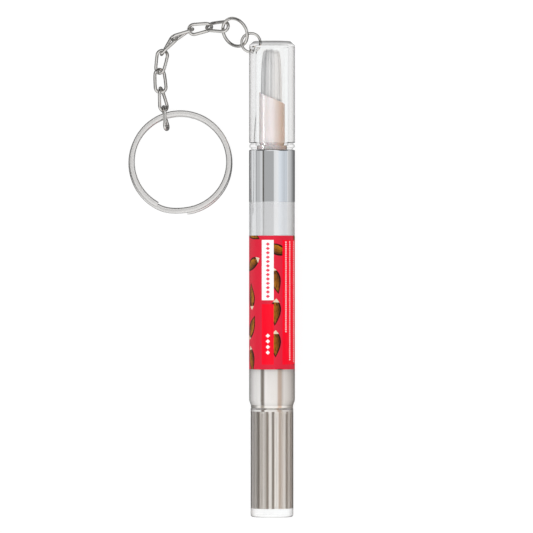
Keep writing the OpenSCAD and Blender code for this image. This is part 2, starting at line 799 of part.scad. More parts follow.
// Key ring: two coils of flat wire that cross over in a short ramp, tilted where it lies on
// the last link
key_mid_r = (key_ring_d - key_wire_w) / 2;
key_ramp = 36;
key_start = key_ramp / 2;
key_steps = 76;
key_turn = (720 - key_ramp) / key_steps;
key_pitch = key_wire_t + key_coil_gap;
key_link_dir = 109.8;
key_link_shift = 0.25;
key_lift = 0.32;
key_tilt = asin((link_wire + key_lift) / (2 * key_mid_r));
key_crossing_turn = 150;
function key_z(a) = key_pitch * min(1, max(0, (a - (360 - key_ramp / 2)) / key_ramp));
key_section = [
    [-key_wire_w / 2, key_edge], [-key_wire_w / 2, key_wire_t - key_edge],
    [-key_wire_w / 2 + key_edge, key_wire_t], [key_wire_w / 2 - key_edge, key_wire_t],
    [key_wire_w / 2, key_wire_t - key_edge], [key_wire_w / 2, key_edge],
    [key_wire_w / 2 - key_edge, 0], [-key_wire_w / 2 + key_edge, 0]
];
function key_ring_ring(i) =
    let (a = key_start + key_turn * i)
    [for (p = key_section)
        [(key_mid_r + p.x) * cos(a), (key_mid_r + p.x) * sin(a), p.y + key_z(a)]];
module split_ring() {
    sides = len(key_section);
    rings = key_steps + 1;
    centre = link_plan(7) - (key_mid_r - key_link_shift) * [cos(key_link_dir), sin(key_link_dir)];
    color(steel)
        translate([centre.x, centre.y, table_z])
            rotate([0, 0, key_link_dir])
                translate([-key_ring_d / 2, 0, 0])
                    rotate([0, -key_tilt, 0])
                        translate([key_ring_d / 2, 0, 0])
                            rotate([0, 0, key_crossing_turn])
                                polyhedron(
                                    points = [for (i = [0 : key_steps]) each key_ring_ring(i)],
                                    faces = concat(
                                        tube_faces(rings, sides, false),
                                        [[for (k = [0 : sides - 1]) k]],
                                        [[for (k = [sides - 1 : -1 : 0])
                                            key_steps * sides + k]]
                                    )
                                );
}

barrel();
guide_nut();
silver_sleeve();
label_film();
brush_holder();
neck_seal();
nozzle();
feed_tube();
brush_bristles();
piston();
screw_rod();
knob();
drive_sleeve();
click_spring();
cap();
small_ring();
large_ring();
chain_link(0);  // chain_link_1
chain_link(1);  // chain_link_2
chain_link(2);  // chain_link_3
chain_link(3);  // chain_link_4
chain_link(4);  // chain_link_5
chain_link(5);  // chain_link_6
chain_link(6);  // chain_link_7
chain_link(7);  // chain_link_8
split_ring();
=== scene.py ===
"""Looks of a twist-up nail oil pen with a brush tip, a clear cap and a key chain.

The pen lies along +Y, from the knob's end face at the origin to the cap. Sizes are in
millimetres and are divided by 1000 as each mesh is made. The sections follow the pen as it is
put together: rear plug, barrel, drive, knob, holder, sleeve, film, nozzle and bristles, cap,
rings and chain, and then the studio.
"""
import math

import bmesh
import bpy
import numpy as np
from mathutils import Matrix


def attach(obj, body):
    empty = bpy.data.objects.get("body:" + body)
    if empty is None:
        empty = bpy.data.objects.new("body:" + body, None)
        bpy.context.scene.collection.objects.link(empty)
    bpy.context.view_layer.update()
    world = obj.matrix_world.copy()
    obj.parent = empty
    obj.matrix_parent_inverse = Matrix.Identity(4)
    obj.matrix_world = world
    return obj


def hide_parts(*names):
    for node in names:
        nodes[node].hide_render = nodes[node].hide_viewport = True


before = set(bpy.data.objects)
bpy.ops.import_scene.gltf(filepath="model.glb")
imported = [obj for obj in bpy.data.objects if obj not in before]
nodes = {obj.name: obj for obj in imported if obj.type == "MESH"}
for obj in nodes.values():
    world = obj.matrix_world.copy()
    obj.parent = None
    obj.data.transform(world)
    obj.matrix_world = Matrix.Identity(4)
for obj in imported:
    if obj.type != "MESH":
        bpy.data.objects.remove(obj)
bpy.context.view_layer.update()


# --- Guide nut ---------------------------------------------------------------------------
# Plug, flange and ratchet tail in one piece of white acetal, injection moulded and pressed
# into the barrel's rear. It shows through the barrel as a pale satin core.

def linear(colour):
    """Linear RGBA of an sRGB hex colour: ((c + 0.055) / 1.055) ** 2.4 for each channel."""
    channels = [int(colour[i:i + 2], 16) / 255 for i in (0, 2, 4)]
    return [c / 12.92 if c < 0.04045 else ((c + 0.055) / 1.055) ** 2.4 for c in channels] + [1]


def add(tree, kind, links=None, operation=None, **settings):
    """Adds a node. Its operation and settings are its properties, and a Mix with an input 6
    mixes colours. Links are its inputs, in a list from the first on or by name or number,
    each a value, a hex colour, another node's output, or a node, which stands for its first
    live output."""
    node = tree.nodes.new("ShaderNode" + kind)
    links = dict(enumerate(links)) if isinstance(links, list) else links or {}
    if operation:
        settings["operation"] = operation
    if kind == "Mix" and 6 in links:
        settings["data_type"] = "RGBA"
    for name, value in settings.items():
        setattr(node, name, value)
    for name, value in links.items():
        if isinstance(value, bpy.types.Node):
            value = next(out for out in value.outputs if out.enabled)
        if isinstance(value, str):
            value = linear(value)
        if isinstance(value, bpy.types.NodeSocket):
            tree.links.new(value, node.inputs[name])
        else:
            node.inputs[name].default_value = value
    return node


def new_finish(name, uv_map=None):
    """An empty node material, its tree, and the place on the piece that its patterns follow:
    Object coordinates, or a UV map."""
    finish = bpy.data.materials.new(name)
    finish.use_nodes = True
    tree = finish.node_tree
    tree.nodes.clear()
    if uv_map:
        return finish, tree, add(tree, "UVMap", uv_map=uv_map)
    return finish, tree, add(tree, "TexCoord").outputs["Object"]


def lined(tree, place, tone, lines):
    """A tone that changes with the angle t = atan2(x, z) round the pen: each line (middle, half
    width, colour), in degrees, shades it by 1 - smooth(|t - middle|), where smooth climbs from
    0.4 to 1.7 half widths, and the lines come again after half a turn."""
    split = add(tree, "SeparateXYZ", [place])
    angle = add(tree, "Math", [split.outputs[0], split.outputs[2]], "ARCTAN2")
    half_turn = add(tree, "Math", [angle, -math.pi / 2, math.pi / 2], "WRAP")
    degrees = add(tree, "Math", [half_turn], "DEGREES")
    for middle, half, colour in lines:
        off = add(tree, "Math", [degrees, middle], "SUBTRACT")
        off = add(tree, "Math", [off], "ABSOLUTE")
        mask = add(tree, "MapRange", [off, half * 0.4, half * 1.7, 1.0, 0.0],
                   interpolation_type="SMOOTHSTEP")
        tone = add(tree, "Mix", {0: mask, 6: tone, 7: colour})
    return tone


def drifting(tree, place, scale, colour, other, detail=3.0):
    """A colour that drifts towards another in soft streaks, with scale (x, y, z) streaks to
    the metre."""
    flow = add(tree, "Mapping", {"Vector": place, "Scale": scale})
    drift = add(tree, "TexNoise", {"Vector": flow, "Scale": 1.0, "Detail": detail})
    return add(tree, "Mix", {0: drift, 6: colour, 7: other})


def grained(tree, place, scale, low, high, strength=0.0, depth_mm=0.1, detail=2.0, tones=()):
    """Shader inputs that follow a grain with scale grains to the metre: the roughness, from
    low to high, the relief where it has a strength, and the colour where it has two tones."""
    grain = add(tree, "TexNoise", {"Vector": place, "Scale": scale, "Detail": detail})
    looks = {"Roughness": add(tree, "MapRange", {0: grain, 3: low, 4: high})}
    if strength:
        looks["Normal"] = add(tree, "Bump", {"Height": grain, "Strength": strength,
                                             "Distance": depth_mm / 1000})
    if tones:
        looks["Base Color"] = add(tree, "Mix", {0: grain, 6: tones[0], 7: tones[1]})
    return looks


def moulded(name, colour, dark, roughness, grain_mm, scatter=0.0, lines=()):
    """Injection-moulded plastic: a base colour that drifts a little towards a darker one along
    the flow of the melt, and a fine moulded grain in the roughness and the bump."""
    finish, tree, place = new_finish(name)
    tone = drifting(tree, place, (420, 60, 420), colour, dark)
    looks = grained(tree, place, 1000 / grain_mm, roughness * 0.8, roughness * 1.25, 0.08)
    skin = add(tree, "BsdfPrincipled", looks | {"Base Color": lined(tree, place, tone, lines),
                                                "IOR": 1.48, "Subsurface Weight": scatter,
                                                "Subsurface Scale": 0.0006})
    add(tree, "OutputMaterial", {"Surface": skin})
    return finish


# Acetal gives a soft satin white with a trace of cream
acetal = moulded("moulded white acetal", "F1EFEC", "E4E0DB", 0.32, 0.12, scatter=0.1)
# The flange has a dark and a beige line in line with the barrel's, and painted shade that
# darkens it towards its two sides
acetal_lines_and_shade = moulded("moulded acetal with lines and painted side shade", "F6F4F1", "EBE7E2", 0.32, 0.12,
                       lines=[(-26.7, 5, "A39A8F"), (21.5, 5, "DCC3AF"), (-60, 14, "B5B1AC"),
                              (-77, 22, "807C77"), (57, 14, "C9C4BE"), (77, 22, "9A958F")])


def dress(name, finish):
    """Gives a CAD node its finish."""
    slots = nodes[name].data.materials
    slots.clear()
    slots.append(finish)


dress("guide_nut", acetal_lines_and_shade)


# --- Barrel ------------------------------------------------------------------------------
# Clear tube of styrene acrylonitrile, injection moulded with a tapered rear end and a step
# that the film and the silver sleeve sit on. The oil is kept in its 10.1 mm bore.

body_r = 6.55
bore_r = 5.05
film_t = 0.1
air = 0.02
label_s = 42.2
sleeve_s = 80.3
margin_s = 89.9
cap_s = 104.9


def eased(profile, ease):
    """Closed profile [(r, s), ...] with eased corners. A corner c becomes the arc
    (1 - t)^2 a + 2 t (1 - t) c + t^2 b between the points a and b at a distance ease on its
    two edges, and a spare point on each edge keeps the long faces flat."""
    c = np.asarray(profile, float)
    back, ahead = np.roll(c, 1, axis=0) - c, np.roll(c, -1, axis=0) - c
    back_len = np.linalg.norm(back, axis=1, keepdims=True)
    ahead_len = np.linalg.norm(ahead, axis=1, keepdims=True)
    reach = np.minimum(np.reshape(ease, (-1, 1)), 0.3 * np.minimum(back_len, ahead_len))
    a, b = c + back / back_len * reach, c + ahead / ahead_len * reach
    t = np.linspace(0, 1, 6)[None, :, None]
    arc = (1 - t) ** 2 * a[:, None] + 2 * t * (1 - t) * c[:, None] + t ** 2 * b[:, None]
    spare_a = c + back / back_len * reach * 1.5
    spare_b = c + ahead / ahead_len * reach * 1.5
    return np.concatenate([spare_a[:, None], arc, spare_b[:, None]], axis=1).reshape(-1, 2)


def wrap(rows, columns, close_rows=True, close_columns=True):
    """Quads of a grid of points, numbered row by row, that joins up with itself where told."""
    index = np.arange(rows * columns).reshape(rows, columns)
    if close_rows:
        index = np.vstack([index, index[:1]])
    if close_columns:
        index = np.hstack([index, index[:, :1]])
    return np.stack([index[:-1, :-1], index[1:, :-1], index[1:, 1:], index[:-1, 1:]],
                    axis=-1).reshape(-1, 4)


def into_scene(name, data):
    """Object that shows a mesh, a lamp or a camera in the scene."""
    thing = bpy.data.objects.new(name, data)
    bpy.context.scene.collection.objects.link(thing)
    return thing


def make_piece(name, points, faces, finish, sharp=32):
    """Mesh piece from points in mm and faces as rows of indices. Points that meet at a pole
    are merged, and the faces are turned so that the volume they enclose, the sum of
    a . (b x c) / 6 over their triangles, is positive: then they point outwards."""
    mesh = bpy.data.meshes.new(name)
    mesh.from_pydata((points.reshape(-1, 3) / 1000).tolist(), [], faces.tolist())
    shell = bmesh.new()
    shell.from_mesh(mesh)
    bmesh.ops.remove_doubles(shell, verts=shell.verts, dist=1e-7)
    if shell.calc_volume(signed=True) < 0:
        bmesh.ops.reverse_faces(shell, faces=shell.faces)
    shell.to_mesh(mesh)
    shell.free()
    mesh.shade_smooth()
    mesh.set_sharp_from_angle(angle=math.radians(sharp))
    mesh.materials.append(finish)
    return into_scene(name, mesh)


def grid_piece(name, grid, finish, close_rows=True, sharp=32):
    """Mesh piece of a grid of points, whose last row joins the first where told."""
    return make_piece(name, grid, wrap(*grid.shape[:2], close_rows), finish, sharp)


def all_round(steps):
    """Column of angles all round, in radians."""
    return np.linspace(0, 2 * np.pi, steps, endpoint=False)[:, None]


def round_pen(r, s, t):
    """Points (r sin t, s, r cos t) at the radius r, the place s and the angle t round the
    pen."""
    return np.stack([r * np.sin(t), s + 0 * t, r * np.cos(t)], axis=-1)


def turned(name, profile, finish, steps=160):
    """Piece turned round the pen's axis from the points (r, s) of a closed profile."""
    r, s = np.asarray(profile).T
    return grid_piece(name, round_pen(r, s, all_round(steps)), finish)


def fill_ramp(ramp, stops):
    """Gives a colour ramp its stops (place, colour): all places first, since they sort it."""
    while len(ramp.elements) < len(stops):
        ramp.elements.new(0.5)
    for element, (place, colour) in zip(ramp.elements, stops):
        element.position = place
    for element, (place, colour) in zip(ramp.elements, stops):
        element.color = colour


def clear_plastic(name, tint, roughness, streak_mm):
    """Clear moulded plastic: it bends light, with faint flow streaks along the pen in its bump,
    and throws no shadow on the pieces inside it. Its outer wall, further than 5.6 mm from the
    axis, takes a grey tint where it is seen edge on."""
    finish, tree, place = new_finish(name)
    scale = (1000 / streak_mm, 25 / streak_mm, 1000 / streak_mm)
    along = add(tree, "Mapping", {"Vector": place, "Scale": scale})
    looks = grained(tree, along, 1.0, roughness * 0.5, roughness * 1.5, 0.01)
    across = add(tree, "Mapping", {"Vector": place, "Scale": (1, 0, 1)})
    far = add(tree, "VectorMath", [across], "LENGTH")
    outer = add(tree, "Math", [far, 0.0056], "GREATER_THAN")
    edge_on = add(tree, "LayerWeight", {"Blend": 0.5})
    edge_on = add(tree, "Math", [edge_on.outputs["Facing"], outer], "MULTIPLY")
    shade = add(tree, "ValToRGB", [edge_on])
    fill_ramp(shade.color_ramp, [(facing, linear(colour)) for facing, colour in (
        (0.24, tint), (0.36, "F1F1F1"), (0.42, "E6E5E5"), (0.48, "D6D4D4"), (0.56, "D2CFCF"),
        (0.66, "A5A3A2"), (0.81, "B4B2B1"))])
    plastic = add(tree, "BsdfPrincipled", looks | {"Base Color": shade, "IOR": 1.53,
                                                   "Transmission Weight": 1.0})
    lit = add(tree, "BsdfTransparent", {"Color": (1, 1, 1, 1)})
    path = add(tree, "LightPath")
    both = add(tree, "MixShader", [path.outputs["Is Shadow Ray"], plastic, lit])
    add(tree, "OutputMaterial", {"Surface": both})
    return finish


# Styrene acrylonitrile is water clear, with a faint cool grey where it is seen edge on
clear_san = clear_plastic("clear moulded SAN", "FBFCFC", 0.03, 0.35)


def textured_wall(name, pale, worn, lines):
    """Inner wall with a moulded texture, which sits on the clear plastic and hides most of what
    is inside, with lines painted round it; on the ribbed knob they are painted shade and light."""
    finish, tree, place = new_finish(name)
    tone = drifting(tree, place, (2200, 60, 2200), pale, worn, detail=2.0)
    skin = add(tree, "BsdfPrincipled", {"Base Color": lined(tree, place, tone, lines),
                                        "Roughness": 0.35, "IOR": 1.3})
    through = add(tree, "BsdfTransparent", {"Color": (0.95, 0.95, 0.95, 1)})
    both = add(tree, "MixShader", [0.92, through, skin])
    add(tree, "OutputMaterial", {"Surface": both})
    return finish


def second_finish(piece, finish, chosen):
    """Puts another finish on the faces of a piece whose middles (x, s, z) in mm are chosen."""
    piece.data.materials.append(finish)
    count = len(piece.data.polygons)
    middle, index = np.empty(count * 3), np.empty(count, dtype=np.int32)
    piece.data.polygons.foreach_get("center", middle)
    piece.data.polygons.foreach_get("material_index", index)
    index[chosen(*middle.reshape(-1, 3).T * 1000)] = len(piece.data.materials) - 1
    piece.data.polygons.foreach_set("material_index", index)


# The bore's rear is textured to grip the plug, so it looks satin white; a pale grey, a dark and
# a beige line run along it
bore_texture = textured_wall("textured SAN bore", "FFFEFD", "F6F4F2", [
    (28.5, 6.0, "DFDBD8"), (-29.6, 5.4, "7E766E"), (23.4, 6.0, "CDB9AB")])
barrel = turned("barrel_tube", eased([
    (6.05, 31.92), (body_r, 33.3), (body_r, label_s), (body_r - film_t, label_s),
    (body_r - film_t, sleeve_s), (6.05 - air, sleeve_s), (6.05 - air, 104.28),
    (bore_r + air, 104.28), (bore_r + air, 43.0), (bore_r + air, 31.92)], 0.12), clear_san)
second_finish(barrel, bore_texture, lambda x, s, z: (np.hypot(x, z) < bore_r + air + 0.01)
              & (s > 32.1) & (s < 42.99))
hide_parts("barrel")
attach(barrel, "pen")


# --- Piston ------------------------------------------------------------------------------
# Two-lip piston of soft white polyethylene, moulded, which snaps on the rod's head. The oil
# keeps its skin wet and glossy.

# Low-density polyethylene is a soft, slightly milky white
polyethylene = moulded("soft white polyethylene", "F4F3F0", "E9E7E2", 0.38, 0.2, scatter=0.2)
dress("piston", polyethylene)


# --- Screw rod ---------------------------------------------------------------------------
# Rod of beige nylon with a fine five-start thread on its round sides, two moulded flats, and
# a round snap head in the piston. The nut drives it forward as the knob turns it.

rod_r = 2.5
rod_flat = 1.9
shank_s = (4.7, 58.3)
thread_pitch = 0.5
thread_lead = 2.5
thread_h = 0.12


def threaded_rod(rows_per_mm=10, steps=96):
    """Grid of the rod. The radius is rod_r less thread_h times a triangle wave of
    s / pitch - starts t / 2 pi, cut off by the flats at rod_flat / |sin t|, and it runs on
    into the neck and the cone of the head. Both ends close to a point."""
    t = all_round(steps).T
    s = np.arange(shank_s[0], shank_s[1] + 0.01, 1 / rows_per_mm)[:, None]
    starts = thread_lead / thread_pitch
    wave = np.abs(2 * ((s / thread_pitch - starts * t / (2 * np.pi)) % 1) - 1)
    chamfer = np.minimum(1, 0.8 + (s - shank_s[0]) * 0.5)
    flat = rod_flat / np.maximum(np.abs(np.sin(t)), 1e-3)
    shank = np.minimum((rod_r - thread_h * wave) * chamfer, flat)
    head_s = np.array([58.3, 58.5, 59.9, 60.0, 60.1, 61.5, 61.6, 61.6])[:, None]
    head_r = np.array([1.8, 1.8, 1.8, 2.45, 2.45, 1.85, 1.75, 0.0])[:, None]
    r = np.vstack([0 * t, shank, head_r + 0 * t])
    return round_pen(r, np.vstack([s[:1], s, head_s]), t)


# Nylon gives a warm beige, a little translucent, with a soft gloss on the threads
nylon_rod = moulded("moulded beige nylon", "E6DCD0", "D8CBBC", 0.34, 0.15, scatter=0.15)
rod = grid_piece("threaded_rod", threaded_rod(), nylon_rod, close_rows=False, sharp=50)
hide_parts("screw_rod")
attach(rod, "rod")


# --- Drive sleeve and click spring -------------------------------------------------------
# The sleeve is natural polypropylene, keyed between the knob's ribs, with a flatted hole that
# turns the rod. The click spring is stamped from spring steel and runs on the nut's teeth.

# Natural polypropylene is milky and lets some light through
natural_pp = moulded("natural polypropylene", "EFEEEB", "DDDAD5", 0.28, 0.18, scatter=0.3)
dress("drive_sleeve", natural_pp)


def rolled_metal(name, colour, dark, roughness, grain_mm):
    """Bright metal with a fine drawn grain in its roughness and colour."""
    finish, tree, place = new_finish(name)
    looks = grained(tree, place, 1000 / grain_mm, roughness * 0.6, roughness * 1.5, 0.05,
                    depth_mm=0.05, detail=3.0, tones=(colour, dark))
    skin = add(tree, "BsdfPrincipled", looks | {"Metallic": 1.0})
    add(tree, "OutputMaterial", {"Surface": skin})
    return finish


# Spring steel is a cool mid grey with a rolled grain of about 0.08 mm
spring_steel = rolled_metal("rolled spring steel", "C9CCCF", "B5B8BC", 0.25, 0.08)
dress("click_spring", spring_steel)


# --- Knob --------------------------------------------------------------------------------
# Clear cup of SAN with a thick end and eighteen ribs inside, which carry the drive sleeve's
# keys. Its mouth has a lip that snaps behind the bead on the guide nut.

knob_r = 6.1
knob_in_r = 5.0
knob_floor = 2.4
rib_top_s = 29.6
rib_tip_r = 4.45 + air
rib_tip_half, rib_base_half = 0.25, 0.40
rib_count = 18


def rib_pitch():
    """Angle and radius, in degrees and mm, of the inner wall over one rib: the tip at
    rib_tip_r, two flanks with eased corners, and the wall at knob_in_r between ribs."""
    tip = math.degrees(rib_tip_half / rib_tip_r)
    base = math.degrees(rib_base_half / knob_in_r)
    half = 180 / rib_count
    t = np.array([0, tip * 0.55, tip * 0.85, tip, tip * 0.75 + base * 0.25, (tip + base) / 2,
                  base * 0.8 + tip * 0.2, base, base + 0.2, base + 0.5,
                  (base + 0.5 + half) / 2])
    high = np.array([0, 0, 0.05, 0.18, 0.40, 0.55, 0.76, 0.95, 0.99, 1.0, 1.0])
    r = rib_tip_r + high * (knob_in_r - rib_tip_r)
    return np.concatenate([-t[:0:-1], t, [half]]), np.concatenate([r[:0:-1], r, [knob_in_r]])


def ribbed_cup():
    """Grid of the knob. Each row is one point (r, s) of the profile from the middle of the end
    face, up the outside, in at the mouth, down the inner wall and back to the axis. On the
    rows marked ribbed the radius follows the ribs."""
    pitch_t, pitch_r = rib_pitch()
    t = ((np.arange(rib_count)[:, None] + 0.5) * 360 / rib_count + pitch_t[None, :]).ravel()
    t, wall = np.radians(t), np.tile(pitch_r, rib_count)
    edge = np.radians(np.linspace(-90, 0, 9))
    outer = [(0, 0), (2.0, 0), (4.0, 0), (5.2, 0)]
    outer += [(knob_r - 0.65 + 0.65 * math.cos(a), 0.65 + 0.65 * math.sin(a)) for a in edge]
    outer += [(knob_r, 0.9), (knob_r, 10), (knob_r, 20), (knob_r, 30.7), (knob_r, 30.88),
              (6.06, 31.0), (5.98, 31.07), (5.88, 31.1), (5.7, 31.1), (4.5, 31.1),
              (4.37, 31.06), (4.35, 31.0), (4.35, 30.78), (4.39, 30.71), (4.5, 30.7),
              (4.9, 30.7), (4.97, 30.68), (knob_in_r, 30.6), (knob_in_r, 30.4),
              (knob_in_r, 30.1), (knob_in_r, 29.8), (knob_in_r, 29.7)]
    ribbed = [(0.0, rib_top_s), (1.0, 29.5), (1.0, 29.3), (1.0, 20), (1.0, 10), (1.0, 2.75),
              (1.0, 2.5), (0.97, 2.42)]
    floor = [(0.93, knob_floor), (0.8, knob_floor), (0.4, knob_floor), (0, knob_floor)]
    rows = outer + [(knob_in_r + (wall - knob_in_r) * share, s) for share, s in ribbed]
    rows += [(wall * share, s) for share, s in floor]
    return np.array([round_pen(r, s, t) for r, s in rows])


# Painted shade and light: dark and pale stripes in warm greys stand in for the light that the
# ribs bend, and they hide the drive behind them
rib_shade_and_light = textured_wall("fluted SAN wall with painted shade", "FFFEFC", "EFEBE7", [
    (-38, 9, "C9C3BD"), (29, 6, "DED6CE"), (-85, 5, "7C746B"), (-64, 10, "B2ACA6"),
    (-47, 6.5, "756D64"), (-20, 4.5, "C6C0BA"), (-14.8, 3.6, "958C83"), (3.3, 3.8, "857D74"),
    (24.3, 3.4, "CDBDB0"), (52.5, 4.6, "B5ADA5"), (75, 7, "E0D9D3")])
knob = grid_piece("ribbed_knob", ribbed_cup(), clear_san, close_rows=False, sharp=40)
second_finish(knob, rib_shade_and_light, lambda x, s, z: (np.hypot(x, z) < knob_in_r + 0.01)
              & (s > knob_floor + 0.05) & (s < 30.1))
second_finish(knob, bore_texture, lambda x, s, z: (np.hypot(x, z) < knob_in_r + 0.01)
              & (s > 30.1) & (s < 30.65))
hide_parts("knob")
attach(knob, "knob")


# --- Feed tube, brush holder and neck seal -----------------------------------------------
# The holder is white acetal, pressed into the barrel's front with a nitrile seal ring in its
# groove. The feed tube is a cut length of polypropylene tube that reaches into the oil.

dress("feed_tube", natural_pp)
dress("brush_holder", acetal)
# Nitrile rubber is a dull charcoal with a soft sheen
nitrile = moulded("moulded nitrile rubber", "3A3A3D", "2C2C2E", 0.55, 0.08)
dress("neck_seal", nitrile)


# --- Silver sleeve -----------------------------------------------------------------------
# ABS shell with a vacuum-metallised coat under clear lacquer, pushed over the barrel's front.
# It mirrors the studio in long bands, with a little orange peel in the lacquer.

def metallised(name):
    """Vacuum-metallised plastic: aluminium under lacquer, which is a smooth mirror with a soft
    waviness, 2 mm across and 25 mm along the pen, and a fine haze of 0.1 mm."""
    finish, tree, place = new_finish(name)
    long = add(tree, "Mapping", {"Vector": place, "Scale": (500, 40, 500)})
    wave = add(tree, "TexNoise", {"Vector": long, "Scale": 1.0, "Detail": 1.0})
    relief = add(tree, "Bump", {"Height": wave, "Strength": 0.02, "Distance": 0.0001})
    looks = grained(tree, place, 9000, 0.04, 0.09)
    skin = add(tree, "BsdfPrincipled", looks | {"Base Color": "F4F6F8", "Metallic": 1.0,
                                                "Normal": relief})
    add(tree, "OutputMaterial", {"Surface": skin})
    return finish


# Aluminium under lacquer is a bright, slightly cool silver
silver_coat = metallised("vacuum metallised ABS")
sleeve_ease = [0.06, 0.04, 0.05, 0.3, 0.1, 0.1, 0.1, 0.06]
sleeve = turned("metallised_sleeve", eased([
    (body_r - film_t, sleeve_s + air), (body_r - film_t, margin_s + air),
    (body_r, margin_s + air), (body_r, 104.8), (3.8, 104.8), (3.8, 104.3), (6.05, 104.3),
    (6.05, sleeve_s + air)], sleeve_ease), silver_coat)
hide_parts("silver_sleeve")
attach(sleeve, "pen")


# --- Label film --------------------------------------------------------------------------
# One wrap of polypropylene film, gravure printed on its inside in reds, white and ambers. The
# print stops at the silver sleeve, and a clear frosted margin laps over it.

film_r = body_r
seam_half = 0.2 / film_r
cell_w, cell_h = 8.23, 9.0
almond_half = 3.9


def film_wrap(steps=216):
    """Shell of the film, with t from one side of the seam under the pen round to the other,
    and r out and in. The UV map holds the distance round the pen, film_r t, and the place s,
    both in mm."""
    t = np.linspace(-np.pi + seam_half, np.pi - seam_half, steps)[:, None]
    s = np.array([label_s, label_s + 0.05, 50, 60, 70, sleeve_s - 0.01, sleeve_s + 0.01,
                  margin_s - 0.05, margin_s])
    inner_r = film_r - film_t + air
    ring_s = np.concatenate([s, s[::-1]])
    ring_r = np.concatenate([np.full(len(s), film_r), np.full(len(s), inner_r)])
    n = len(ring_s)
    faces = wrap(steps, n, close_rows=False)
    k = np.arange(len(s) - 1)
    first = np.stack([k, k + 1, n - 2 - k, n - 1 - k], axis=-1)
    last = first[:, ::-1] + (steps - 1) * n
    uv = np.stack([film_r * t + 0 * ring_s, ring_s + 0 * t], axis=-1).reshape(-1, 2)
    return round_pen(ring_r, ring_s, t), np.concatenate([faces, first, last]), uv


